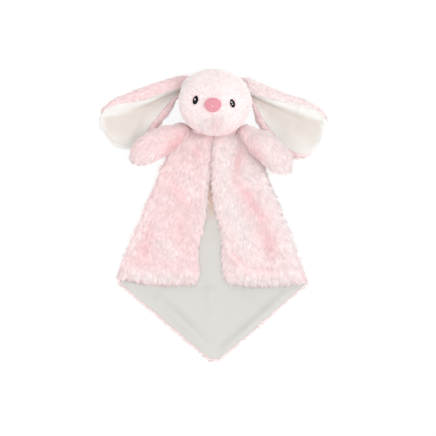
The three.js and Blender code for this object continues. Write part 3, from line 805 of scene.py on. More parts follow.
def foldsOver(folds, points, scale=mm):
    # Height of the folds over points of the plan
    height = np.zeros(points.shape[:-1])
    for start, end, rise, spread in folds:
        start, end = fromPhoto(*start), fromPhoto(*end)
        run = end - start
        share = np.clip(((points - start) @ run) / (run @ run), 0, 1)
        away = np.linalg.norm(points - (start + share[..., None] * run), axis=-1)
        taper = 0.35 + 0.65 * np.sin(math.pi * np.clip(share, 0.08, 0.92))
        height += rise * scale * taper * bell(away, spread * mm)
    return height


# Head. Places on the face are pixels of the photograph.
headFur = {
    "perSquareMm": 1.25, "length": 5.0 * mm, "width": 0.54 * mm, "lean": 77, "curl": 14, "stray": 0.36,
    "swirl": 0.45, "swirlSize": 22 * mm, "perTuft": 5, "pull": 0.3,
    "soft": 0.95, "lift": 1.0, "contrast": 0.25,
}
headShape = {
    "voxel": 3.6 * mm,
    "cap": 1.0 * mm,
    "smoothing": 6,
    "swell": 1.4 * mm,
    "faceHeight": 66 * mm,
    "nose": (212.9, 105.4),
    "mouth": (214.0, 121.0),
    "eyes": {"left": (195.15, 100.0), "right": (232.8, 103.5)},
    "cheeks": [(203.5, 121.5), (225.0, 122.5)],
    "cheekRise": 1.0 * mm,
    "cheekReach": 9 * mm,
    "grooveDepth": 1.2 * mm,
    "grooveWidth": 3.0 * mm,
    "grooveRun": (4 * mm, 10 * mm),  # below the nose
    "crownShift": 2.4 * mm,
    "eyeClear": (3.3 * mm, 4.7 * mm),
    "noseClear": (8.8 * mm, 7.2 * mm),
    "ears": {-1: (187.5, 78.0), 1: (242.0, 79.0)},  # where they leave the crown
    "combFrom": 40 * mm,  # over the head's middle, where the pile is combed away from
    "combDown": -0.25,
    "earFur": 1.1,  # how much longer the fur at the ears is
    "earReach": (9 * mm, 7 * mm),  # of the parting and of the longer fur
    "eyeParting": 1.4,
    "eyeReach": (7 * mm, 6 * mm),  # of the parting and of the shorter fur
    "eyeFur": 0.45,  # how much shorter the fur at the eyes is
    "noseFur": 0.4,
    "underFur": 0.45,
    "partRun": (14 * mm, 12 * mm),  # over which the parting at the mouth turns
    "partDown": 0.7,
    "earComb": (0.15, -0.3),
    # painted shade: pinker under the head's rim, on its left side away from the key light, and mottled among
    # the muzzle's tufts
    "rimShadePink": 0.4,
    "leftShadePink": 0.06,
    "mouthPink": 0.8,
    "mouthReach": (9 * mm, 8 * mm),  # of the parting and of the pink
    "noseReach": 9.5 * mm,
    "muzzleReach": 10 * mm,
    "muzzleFur": 1.1,  # how much longer the muzzle's fur is
    "muzzleLoose": 0.8,
    "mottleSize": 5 * mm,
}


def onFacePlan(pixel):
    return fromPhoto(*pixel, headShape["faceHeight"])


def makeHead():
    shape = headShape
    skin = stuffedPiece("head_plush", "head_stuffing", shape)
    centre, half = np.array(plan["headCentre"]), np.array(plan["headHalf"])
    chinY, crownY = centre[1] - half[1], centre[1] + half[1]
    nose, mouth = onFacePlan(shape["nose"]), onFacePlan(shape["mouth"])
    eyes = [onFacePlan(pixel) for pixel in shape["eyes"].values()]
    ears = {outwards: fromPhoto(*pixel) for outwards, pixel in shape["ears"].items()}

    # A shallow groove runs from the nose down to the chin, between two soft cheeks
    points = readPoints(skin.data)
    onTop = smoothStep(centre[2], centre[2] + 12 * mm, points[:, 2])
    start, full = nose[1] - np.array(shape["grooveRun"])
    down = smoothStep(start, full, points[:, 1]) * smoothStep(chinY, chinY + 10 * mm, points[:, 1])
    points[:, 2] -= shape["grooveDepth"] * (bell(points[:, 0] - nose[0], shape["grooveWidth"]) * onTop * down)
    points[:, 0] -= shape["crownShift"] * smoothStep(centre[1], crownY, points[:, 1])
    for cheek in shape["cheeks"]:
        near = bell(awayFrom(points, onFacePlan(cheek)), shape["cheekReach"])
        points[:, 2] += shape["cheekRise"] * near * onTop
    writePoints(skin.data, points)
    settle(skin, "plush", "head", "head_cover", "head_stuffing")

    def keep(places, ups):
        share = between(shape["underFur"], 1, smoothStep(-0.6, 0.1, ups[:, 2]))
        for spot, clear in [(eye, shape["eyeClear"]) for eye in eyes] + [(nose, shape["noseClear"])]:
            away = (places[:, :2] - spot) / clear
            share = share * np.where((ups[:, 2] > 0) & ((away**2).sum(axis=1) < 1), 0, 1)
        return share

    def comb(places, ups):
        flow = places - np.array([nose[0], nose[1], centre[2] + shape["combFrom"]])
        flow = unit(flow) + np.array([0, shape["combDown"], 0])
        for eye in eyes:
            near = bell(awayFrom(places, eye), shape["eyeReach"][0])[:, None]
            flow[:, :2] = flow[:, :2] * (1 - near) + unit(places[:, :2] - eye) * near * shape["eyeParting"]
        # Short of the chin the pile parts to both sides and curls back up round the cheeks
        away = places[:, :2] - mouth
        near = bell(awayFrom(places, mouth), shape["mouthReach"][0])[:, None]
        side = np.sign(away[:, :1])
        aside = side - away[:, 1:] * side / shape["partRun"][0]
        down = away[:, :1] * side / shape["partRun"][1] - shape["partDown"]
        flow[:, :2] = flow[:, :2] * (1 - near) + np.concatenate([aside, down], axis=1) * near
        for outwards, ear in ears.items():
            near = bell(awayFrom(places, ear), shape["earReach"][0])[:, None]
            flow = flow * (1 - near) + np.array([outwards, *shape["earComb"]]) * near
        return flow

    def toMuzzle(places):
        return bell(awayFrom(places, mouth), shape["muzzleReach"])

    def lengthAt(places):
        longer = shape["muzzleFur"] * toMuzzle(places) * (places[:, 2] > centre[2])
        nearEyes = sum(bell(awayFrom(places, eye), shape["eyeReach"][1]) for eye in eyes)
        nearEars = sum(bell(awayFrom(places, ear), shape["earReach"][1]) for ear in ears.values())
        nearNose = bell(awayFrom(places, nose), shape["noseReach"], 4)
        longer = 1 + longer + shape["earFur"] * nearEars
        return longer * (1 - shape["eyeFur"] * np.clip(nearEyes, 0, 1)) * (1 - shape["noseFur"] * nearNose)

    def pinkAt(places):
        # Painted shade: pinker under the rim, on the left side and among the muzzle's tufts
        share = np.linalg.norm((places[:, :2] - centre[:2]) / half[:2], axis=1)
        low = smoothStep(0.1, -0.9, (places[:, 1] - centre[1]) / half[1])
        left = smoothStep(0.0, -1.0, (places[:, 0] - centre[0]) / half[0])
        near = bell(awayFrom(places, mouth), shape["mouthReach"][1])
        mottle = 0.5 + 0.5 * softNoise(places, shape["mottleSize"], 17)
        rim = shape["rimShadePink"] * low * smoothStep(0.6, 0.95, share)
        return rim + shape["leftShadePink"] * left + shape["mouthPink"] * near * np.clip(mottle, 0, 1)

    def looseAt(places):
        return shape["muzzleLoose"] * toMuzzle(places)

    settle(growFur("head_pile", skin, headFur, keep, comb, pinkAt, 11, lengthAt, looseAt), "pile", "head")


# Face
eyeLook = {
    "width": {"left": 5.6 * mm, "right": 5.2 * mm}, "length": {"left": 10.4 * mm, "right": 10.0 * mm},
    "rise": 1.5 * mm, "sink": 2.2 * mm, "edgeSink": 0.5 * mm, "threads": 21, "thread": 0.32 * mm,
    "slant": {"left": -14, "right": 20}, "pad": 0.97,
    "glint": {"left": [(0.12, 0.12, 1.7 * mm)], "right": [(-0.5, 0.4, 1.0 * mm), (-0.42, -0.12, 1.0 * mm)]},
    "crownShare": 0.96, "threadSlope": 0.05,
    "glintThreads": 4, "glintThread": 0.2 * mm, "glintGap": 1.7, "glintRound": 1.2 * mm,
    "glintRise": (0.42 * mm, 0.25 * mm),
}
noseLook = {
    "width": 19.6 * mm, "length": 17.2 * mm, "rise": 4.4 * mm, "sink": 3.4 * mm,
    "taper": 0.09, "corner": 0.006,
    "crease": 0.9 * mm, "creaseWidth": 1.0 * mm, "creaseFrom": 1.2 * mm, "creaseFade": 0.7 * mm,
    "stitchLow": 1.0 * mm, "stitchLength": 2.6 * mm, "stitchThread": 0.32 * mm,
    "stitchRise": (0.1 * mm, 0.7 * mm),
}


def facePlace(over, pixel, slant):
    place = over(*onFacePlan(pixel))
    half = Vector(plan["headHalf"])
    away = place - Vector(plan["headCentre"])
    normal = Vector((away.x / half.x**2, away.y / half.y**2, away.z / half.z**2)).normalized()
    up = Vector((-math.sin(math.radians(slant)), math.cos(math.radians(slant)), 0))
    up = (up - normal * up.dot(normal)).normalized()
    side = up.cross(normal)

    def onFace(across, along, rise):
        return np.array(place + side * across + up * along + normal * rise)

    return onFace


def threadPiece(name, paths, radius):
    curve = bpy.data.curves.new(name, "CURVE")
    curve.dimensions = "3D"
    curve.bevel_depth = radius
    curve.bevel_resolution = 2
    curve.use_fill_caps = True
    for path in paths:
        spline = curve.splines.new("POLY")
        spline.points.add(len(path) - 1)
        spline.points.foreach_set("co", np.insert(np.array(path), 3, 1, axis=1).ravel())
    selectOnly(newPiece(name, curve))
    bpy.ops.object.convert(target="MESH")
    bpy.ops.object.shade_smooth()
    return bpy.context.object


def shapedBall(name, segments, rings, shapeAt):
    selectNone()
    bpy.ops.mesh.primitive_uv_sphere_add(segments=segments, ring_count=rings, radius=1, location=(0, 0, 0))
    ball = bpy.context.object
    ball.name = name
    writePoints(ball.data, np.array([shapeAt(*place) for place in readPoints(ball.data)]))
    bpy.ops.object.shade_smooth()
    return ball


def eyeReach(along):
    # Almond: drawn to a point above, rounder below
    return (1 - abs(along) ** 1.7) ** 0.95 if along > 0 else (1 - abs(along) ** 2.1) ** 0.7


def makeEye(side, over):
    look = eyeLook
    onFace = facePlace(over, headShape["eyes"][side], look["slant"][side])
    halfWidth, halfLength = look["width"][side] / 2, look["length"][side] / 2

    def crown(across, along):
        return look["rise"] * math.sqrt(max(1 - across**2 - along**2, 0)) - look["edgeSink"]

    def padAt(x, y, z):
        narrow = look["pad"] * eyeReach(y) / max(math.sqrt(max(1 - y * y, 0)), 0.05) if abs(y) < 0.999 else 0
        rise = max(z, 0) * look["rise"] - look["edgeSink"] + min(z, 0) * look["sink"]
        return onFace(x * halfWidth * narrow, y * halfLength * look["pad"], rise)

    paths = []
    for k in range(look["threads"]):
        along = (k + 0.5) / look["threads"] * 2 - 1
        reach = eyeReach(along)
        path = [onFace(-reach * halfWidth, along * halfLength, -look["sink"])]
        for share in np.linspace(-1, 1, 9):
            across = share * reach
            rise = crown(across * look["crownShare"], along * look["crownShare"])
            path.append(onFace(across * halfWidth, (along + look["threadSlope"] * share) * halfLength, rise))
        path.append(onFace(reach * halfWidth, along * halfLength, -look["sink"]))
        paths.append(path)
    threads = threadPiece(f"{side}_eye_thread", paths, look["thread"])
    shapedBall(f"{side}_eye_pad", 24, 14, padAt)
    threads.select_set(True)
    bpy.context.view_layer.objects.active = threads
    bpy.ops.object.join()
    threads.name = f"{side}_eye_embroidery"
    settle(threads, "black", "head", f"{side}_eye")

    glints = []
    for acrossAt, alongAt, length in look["glint"][side]:
        for k in range(look["glintThreads"]):
            shift = (k - (look["glintThreads"] - 1) / 2) * look["glintThread"] * look["glintGap"]
            rounded = math.sqrt(1 - min(abs(shift) / look["glintRound"], 0.9) ** 2)
            path = []
            for share in np.linspace(-1, 1, 7):
                across = acrossAt * halfWidth + shift
                along = alongAt * halfLength + share * length / 2 * rounded
                rise = crown(across / halfWidth, along / halfLength) + look["glintRise"][0]
                rise += look["glintRise"][1] * math.sqrt(1 - share**2)
                path.append(onFace(across, along, rise - (look["edgeSink"] if abs(share) == 1 else 0)))
            glints.append(path)
    glint = threadPiece(f"{side}_eye_glint_thread", glints, look["glintThread"])
    settle(glint, "white", "head", f"{side}_eye_glint")


def makeNose(over):
    look = noseLook
    onFace = facePlace(over, headShape["nose"], 0)

    def noseAt(x, y, z):
        angle = math.atan2(y, x)
        corner = 1 - look["corner"] * math.cos(3 * (angle - math.pi / 2))
        across = x * look["width"] / 2 * (1 + look["taper"] * y) * corner
        along = y * look["length"] / 2 * corner
        dome = abs(z) ** 0.8
        if z <= 0:
            return onFace(across, along, -dome * look["sink"])
        low = 1 / (1 + math.exp((along + look["creaseFrom"]) / look["creaseFade"]))
        crease = look["crease"] * math.exp(-((across / look["creaseWidth"]) ** 2)) * low * dome
        return onFace(across, along, dome * look["rise"] - crease)

    piece = shapedBall("nose_velour", 64, 40, noseAt)
    settle(piece, "nose", "head", "nose")

    path = []
    for share in np.linspace(-1, 1, 9):
        along = -look["stitchLow"] + share * look["stitchLength"] / 2
        rise = look["rise"] * (1 - (along / (look["length"] / 2)) ** 2) ** 0.4
        path.append(onFace(0, along, rise + look["stitchRise"][0] - look["stitchRise"][1] * share**4))
    settle(threadPiece("nose_thread", [path], look["stitchThread"]), "white", "head", "nose_stitch")


# Arms
armFur = {
    "perSquareMm": 1.0, "length": 7.0 * mm, "width": 0.52 * mm, "lean": 74, "curl": 12, "stray": 0.28,
    "swirl": 0.35, "swirlSize": 24 * mm, "perTuft": 8, "pull": 0.6, "soft": 0.7, "lift": 0.7, "contrast": 0.9,
}
armShape = {
    "voxel": 3.2 * mm, "cap": 0.9 * mm, "smoothing": 5, "swell": 2.0 * mm,
    # how far the end is drawn out
    "longer": {"left": (0.3 * mm, -2.6 * mm), "right": (-2.0 * mm, -4.4 * mm)},
    # the crease where each arm sinks into the flap (from, to, pinkness, half width), and the pink elsewhere,
    # more on the left arm: both painted shade
    "crease": {"left": ((165, 158), (190, 131), 1.0, 9), "right": ((262, 167), (239, 135), 1.0, 9)},
    "creaseShadePink": 0.6,
    "pink": {"left": 0.26, "right": 0.04},
    "combDown": -0.3,
    "underFur": 0.5,
}


def jointPlace(name):
    joints = frame["record"]["behaviour"]["joints"]
    return np.array(next(joint["pos_m"] for joint in joints if joint["name"] == name))


def makeArm(side):
    shape = armShape
    body = f"{side}_arm"
    skin = stuffedPiece(f"{side}_arm_plush", f"{side}_arm_stuffing", shape)
    shoulder = jointPlace(f"{side}_arm_lift")
    points = readPoints(skin.data)
    away = awayFrom(points, shoulder[:2])
    points[:, :2] += smoothStep(0.4, 1.0, away / away.max())[:, None] * np.array(shape["longer"][side])
    writePoints(skin.data, points)
    settle(skin, "plush", body, f"{side}_arm_cover", f"{side}_arm_stuffing")
    axis = unit(points[np.linalg.norm(points - shoulder, axis=1).argmax()] - shoulder)
    axis = unit(axis * np.array([1, 1, 0]))

    def keep(places, ups):
        return between(shape["underFur"], 1, smoothStep(-0.7, 0.0, ups[:, 2]))

    def comb(places, ups):
        return np.tile(axis + np.array([0, shape["combDown"], 0]), (len(places), 1))

    def pinkAt(places):
        # Painted shade: pinker in the crease and on the left arm, away from the key light
        crease = foldsOver([shape["crease"][side]], places[:, :2], 1.0)
        return shape["pink"][side] + shape["creaseShadePink"] * crease

    fur = growFur(f"{side}_arm_pile", skin, armFur, keep, comb, pinkAt, 21 + sides.index(side))
    settle(fur, "pile", body)


# Ears: a furry back that folds over the upper edge, and a velour lining sewn into it
earFur = {
    "perSquareMm": 0.95, "length": 6.0 * mm, "width": 0.5 * mm, "lean": 74, "curl": 12, "stray": 0.3,
    "swirl": 0.3, "swirlSize": 22 * mm, "perTuft": 10, "pull": 0.65,
    "soft": 0.7, "lift": 0.7, "contrast": 0.8,
}
earShape = {
    "length": 104 * mm, "width": 60 * mm, "band": 16 * mm, "lowBand": 7.4 * mm, "floor": 3.4 * mm,
    "base": 0.5 * mm, "lining": 1.4 * mm, "pile": 1.8 * mm, "droop": {"left": 22.5, "right": 23.3},
    "swing": 50,  # degrees that an ear swings up
    "flat": 1.05,  # its flat size, and then how much of that its plush and its lining cover
    "area": 0.97,
    "liningArea": 0.66,
    "combTop": (0.9, -0.3),  # along and across the ear, on its upper half and on its lower one
    "combLow": (0.7, -0.55),
    "combSink": -0.1,
    # painted shade: the lower band of pile is pinker
    "lowPink": 0.3,
    # where along the ear the lining comes out to its lower edge (from, to), how far, and its rolled rim
    "rimRun": {"left": (0.5, 0.76), "right": (0.66, 0.9)}, "rimReach": {"left": 0.95, "right": 0.6},
    "rimRise": 3.0 * mm, "rimIn": {"left": 3.4 * mm, "right": 5.6 * mm},
    "rimWidth": {"left": 3.0 * mm, "right": 5.0 * mm},
    "rollTo": 1.9 * mm, "rollWidth": 2.2 * mm, "tipReach": [0.9 * mm, 1.7 * mm, 2.2 * mm],
    "lowest": 1.6 * mm, "cloth": 1.1 * mm, "unevenness": 0.25 * mm,
    "seam": {"left": (-0.86, 0.392), "right": (0.86, 0.363)},
    "stations": 74, "liningColumns": 40,
    "bandHeights": [1.5, 1.3, 1, 0.97, 0.92, 0.82, 0.6],
    # height of the back's section between its four lines
    "bandSection": [(0, 0.3), (0.1, 0.62), (0.3, 0.9), (0.6, 1), (0.88, 0.97)],
    "cupSection": [(0, 0.86), (0.06, 0.66), (0.17, 0.5), (0.25, 0.2), (0.38, 0.03), (0.7, 0), (1, 0.04)],
    "lowSection": [(0.12, 0.8), (0.45, 1), (0.8, 0.75), (1, 0.3)],
    # painted shade: the left ear, away from the key light, is pinker
    "pink": {"left": 0.32, "right": 0.0},
}
# Lines along each ear, as shares of its length and width, from the seam on the head to the tip
earLines = {
    "left": {
        "outerTop": [
            (-0.15, 0.23), (-0.04, 0.3), (0.2, 0.355), (0.49, 0.38), (0.74, 0.375), (0.92, 0.3), (1.0, 0.13),
        ],
        "seamTop": [
            (-0.09, 0.01), (0.05, 0.04), (0.25, 0.07), (0.49, 0.1), (0.74, 0.21), (0.9, 0.23), (0.985, 0.1),
        ],
        "seamLow": [
            (-0.06, -0.05), (0.08, -0.04), (0.25, -0.17), (0.47, -0.37),
            (0.7, -0.62), (0.955, -0.45), (1.02, -0.07),
        ],
        "outerLow": [
            (-0.02, -0.13), (0.1, -0.15), (0.25, -0.36), (0.49, -0.58),
            (0.7, -0.76), (0.975, -0.53), (1.045, -0.1),
        ],
    },
    "right": {
        "outerTop": [
            (-0.17, 0.2), (-0.05, 0.26), (0.15, 0.27), (0.38, 0.275), (0.63, 0.31), (0.89, 0.25), (1.0, 0.06),
        ],
        "seamTop": [
            (-0.1, -0.01), (0.08, -0.03), (0.24, 0.01), (0.43, 0.07),
            (0.64, 0.16), (0.85, 0.17), (0.98, 0.03),
        ],
        "seamLow": [
            (-0.06, -0.07), (0.11, -0.14), (0.26, -0.35), (0.45, -0.56),
            (0.68, -0.74), (0.94, -0.64), (0.985, -0.18),
        ],
        "outerLow": [
            (-0.02, -0.15), (0.13, -0.28), (0.24, -0.54), (0.43, -0.73),
            (0.7, -0.95), (0.985, -0.66), (1.01, -0.2),
        ],
    },
}
# Folds in the lining: from, to (pixels of the photograph), rise and half width in millimetres
earFolds = {
    "left": [
        ((106.5, 115.0), (148.4, 107.6), -1.2, 2.2),
        ((148.4, 107.6), (175.4, 92.8), -1.0, 2.2),
        ((145.0, 111.0), (129.4, 137.7), 1.9, 4.0),
        ((110.0, 109.0), (160.0, 100.0), 1.4, 2.4),
    ],
    "right": [
        ((252.8, 98.6), (284.6, 112.5), -1.2, 2.2),
        ((284.6, 112.5), (303.8, 122.0), -1.2, 2.4),
        ((266.0, 101.5), (298.0, 110.0), 1.3, 2.6),
        ((301.9, 107.0), (297.4, 116.0), 2.0, 2.2),
        ((278.0, 128.0), (300.0, 140.0), 0.9, 5.0),
    ],
}


def earAxes(side):
    droop = math.radians(earShape["droop"][side])
    seam = np.array(plan["headCentre"][:2]) + np.array(earShape["seam"][side]) * plan["headHalf"][:2]
    along = np.array([outward[side] * math.cos(droop), -math.sin(droop)])
    across = np.array([outward[side] * math.sin(droop), math.cos(droop)])
    return seam, along, across


def earLine(side, name, shares):
    seam, along, across = earAxes(side)
    places = curveThrough(earLines[side][name], shares)
    return seam + places[:, :1] * earShape["length"] * along + places[:, 1:] * earShape["width"] * across


def headUnderside(x, y):
    cx, cy, cz = plan["headCentre"]
    hx, hy, hz = plan["headHalf"]
    rest = 1 - ((x - cx) / hx) ** 2 - ((y - cy) / hy) ** 2
    return np.where(rest > 0, cz - hz * np.sqrt(np.maximum(rest, 0)), 1.0)


def ceilingOver(side, points):
    # Lowest that the head comes over the ear on the ear's way up
    seam, _, _ = earAxes(side)
    lowest = np.full(points.shape[:-1], 1.0)
    for degrees in np.linspace(0, earShape["swing"], 11):
        angle = math.radians(outward[side] * degrees)
        away = points - seam
        x = seam[0] + away[..., 0] * math.cos(angle) - away[..., 1] * math.sin(angle)
        y = seam[1] + away[..., 0] * math.sin(angle) + away[..., 1] * math.cos(angle)
        lowest = np.minimum(lowest, headUnderside(x, y))
    return lowest - plan["gap"]


def sectionAt(table, share):
    fine = curveThrough(table, np.linspace(0, 1, 200))
    return np.interp(share, fine[:, 0], fine[:, 1])


def earStations(side):
    # Along the ear: its lines, its height, and how far the lining has come out to the lower and upper edge
    shares = np.linspace(0, 1, earShape["stations"])
    lines = {name: earLine(side, name, shares) for name in earLines[side]}
    heights = curveThrough(list(enumerate(earShape["bandHeights"])), shares)[:, 1]
    openLow = smoothStep(*earShape["rimRun"][side], shares) * earShape["rimReach"][side]
    openTop = smoothStep(0.9, 1.0, shares) * earShape["rimReach"][side]
    return shares, lines, heights, openLow, openTop


def cupAt(side, point, share, h):
    # Height of the cup that back and lining share, kept under the head
    shape = earShape
    rise = sectionAt(shape["cupSection"], share)
    z = shape["floor"] + (shape["band"] - shape["floor"] - shape["lining"]) * rise * h
    return np.minimum(z, ceilingOver(side, point) - shape["lining"] - plan["gap"])


def earSurface(side):
    # The furry back, as rings: over the upper band, down into the cup, over the lower band and back below
    shape = earShape
    _, lines, h, openLow, openTop = earStations(side)
    seamTop, seamLow = lines["seamTop"], lines["seamLow"]
    inset = shape["pile"]
    outerTop = lines["outerTop"] + unit(seamTop - lines["outerTop"]) * inset
    outerLow = lines["outerLow"] + unit(seamLow - lines["outerLow"]) * inset

    def limited(points, z):
        return np.minimum(z, ceilingOver(side, points) - inset)

    ring = []
    for share in (0.0, 0.05, 0.12, 0.25, 0.4, 0.6, 0.8, 0.92):
        point = between(outerTop, seamTop, share)
        rise = sectionAt(shape["bandSection"], share)
        ring.append((point, limited(point, (shape["band"] - inset) * rise * h * (1 - 0.45 * openTop))))
    for share in np.linspace(0.01, 0.99, 18):
        point = between(seamTop, seamLow, share)
        z = cupAt(side, point, share, h)
        ring.append((point, z + np.minimum(foldsOver(earFolds[side], point), 0) - 0.8 * mm))
    for share in (0.1, 0.3, 0.5, 0.75, 0.92, 1.0):
        point = between(seamLow, outerLow, share)
        rise = sectionAt(shape["lowSection"], max(share, 0.12))
        z = (shape["lowBand"] - inset * 0.6) * rise * h * (1 - 0.72 * openLow)
        ring.append((point, limited(point, z)))
    ring.append((between(seamLow, outerLow, 0.85), shape["base"]))
    for share in (0.8, 0.5, 0.2, 0.04):
        ring.append((between(seamTop, outerLow, share), shape["base"]))
    ring.append((between(outerTop, seamTop, 0.1), shape["base"]))
    return np.stack([withHeight(point, z) for point, z in ring], axis=1)


def earCup(side):
    # The lining: cupped, folded, and at the tip rolled outwards over the edge of the ear, with painted shade
    # for the deep of its cup
    shape = earShape
    _, along, _ = earAxes(side)
    stations, lines, h, openLow, openTop = earStations(side)
    topEdge = between(lines["seamTop"], lines["outerTop"], openTop[:, None])
    lowEdge = between(lines["seamLow"], lines["outerLow"], openLow[:, None])
    middle = between(topEdge, lowEdge, 0.5)
    toTip = np.linalg.norm(middle - middle[-1], axis=1) + shape["tipReach"][-1]
    across = np.linalg.norm(lowEdge - topEdge, axis=1)
    rows, tones = [], []
    for share in np.linspace(0, 1, shape["liningColumns"]):
        point = between(topEdge, lowEdge, share * 1.02 - 0.01)
        z = cupAt(side, point, share, h * (1 - 0.5 * openTop))
        z = z + foldsOver(earFolds[side], point) * (1 - openTop) + shape["lining"]
        rim, roll = np.zeros(len(z)), np.zeros(len(z))
        for toEdge, weight in (((1 - share) * across, openLow), (toTip, smoothStep(-0.1, 0.2, share))):
            rim = np.maximum(rim, bell(toEdge - shape["rimIn"][side], shape["rimWidth"][side]) * weight)
            roll = np.maximum(roll, (1 - smoothStep(0, shape["rollWidth"], toEdge)) * weight)
        z = z + shape["rimRise"] * rim
        z = z + (shape["rollTo"] - z) * roll
        # Painted shade: darker deep in the cup, less at its rim and towards both ends
        deep = smoothStep(0.16, 0.28, share) * (1 - 0.8 * smoothStep(0.4, 1.0, share)) * (1 - rim) ** 2
        rows.append(withHeight(point, z))
        tones.append(0.75 * deep * smoothStep(0, 0.12, stations) * (1 - smoothStep(0.86, 0.97, stations)))
    surface, hollowShade = np.stack(rows, axis=1), np.stack(tones, axis=1)
    last = surface[-1]
    for reach in shape["tipReach"]:
        bent = last + np.append(along * reach, 0)
        bent[:, 2] += (shape["rollTo"] - bent[:, 2]) * (reach / shape["tipReach"][-1]) ** 2
        surface = np.concatenate([surface, bent[None]])
        hollowShade = np.concatenate([hollowShade, hollowShade[-1:]])
    surface[:, :, 2] = np.maximum(surface[:, :, 2], shape["lowest"])
    return surface, hollowShade


def deepen(piece, surface, hollowShade):
    # Stores painted shade on a lining: how deep in the cup, or in the slit's shade, each point lies
    nearest = nearestOf(surface.reshape(-1, 3))
    flat = hollowShade.ravel()
    values = np.array([flat[nearest(vertex.co)] for vertex in piece.data.vertices])
    mark = piece.data.attributes.new("hollowShade", "FLOAT", "POINT")
    mark.data.foreach_set("value", values.astype(np.float32))


def makeEar(side):
    body = f"{side}_ear"
    shape = earShape
    skin = bentGrid(f"{side}_ear_plush", closeRings(earSurface(side), 3 * mm), closed=True)
    refine(skin, 0)

    surface, hollowShade = earCup(side)
    lining = bentGrid(f"{side}_ear_velour", surface)
    points = readPoints(lining.data)
    points[:, 2] += shape["unevenness"] * softNoise(points, 16 * mm, 31 + sides.index(side))
    writePoints(lining.data, points)
    thicken(lining, shape["cloth"])
    refine(lining, 0)
    deepen(lining, surface, hollowShade)
    settle(skin, "plush", body, f"{side}_ear_back")
    settle(lining, "velour", body, f"{side}_ear_lining")

    seam, along, across = earAxes(side)
    tree = bvhOf(lining)

    def keep(places, ups):
        covered = np.array([
            tree.ray_cast(Vector(place + up * 0.1 * mm), Vector((0, 0, 1)), 14 * mm)[0] is not None
            for place, up in zip(places, ups)
        ])
        return np.where(covered | (places[:, 2] < 1.2 * mm), 0, 1)

    def comb(places, ups):
        high = ((places[:, :2] - seam) @ across) / shape["width"]
        level = smoothStep(-0.2, 0.15, high)[:, None]
        top, low = [along * ahead + across * aside for ahead, aside in (shape["combTop"], shape["combLow"])]
        return withHeight(top * level + low * (1 - level), shape["combSink"])

    def pinkAt(places):
        # Painted shade: pinker on the lower band and on the left ear
        high = ((places[:, :2] - seam) @ across) / shape["width"]
        far = ((places[:, :2] - seam) @ along) / shape["length"]
        low = smoothStep(0.0, -0.12, high - 0.12 * far)
        return shape["lowPink"] * low + (1 - low) * shape["pink"][side]

    fur = growFur(f"{side}_ear_pile", skin, earFur, keep, comb, pinkAt, 41 + sides.index(side))
    settle(fur, "pile", body)


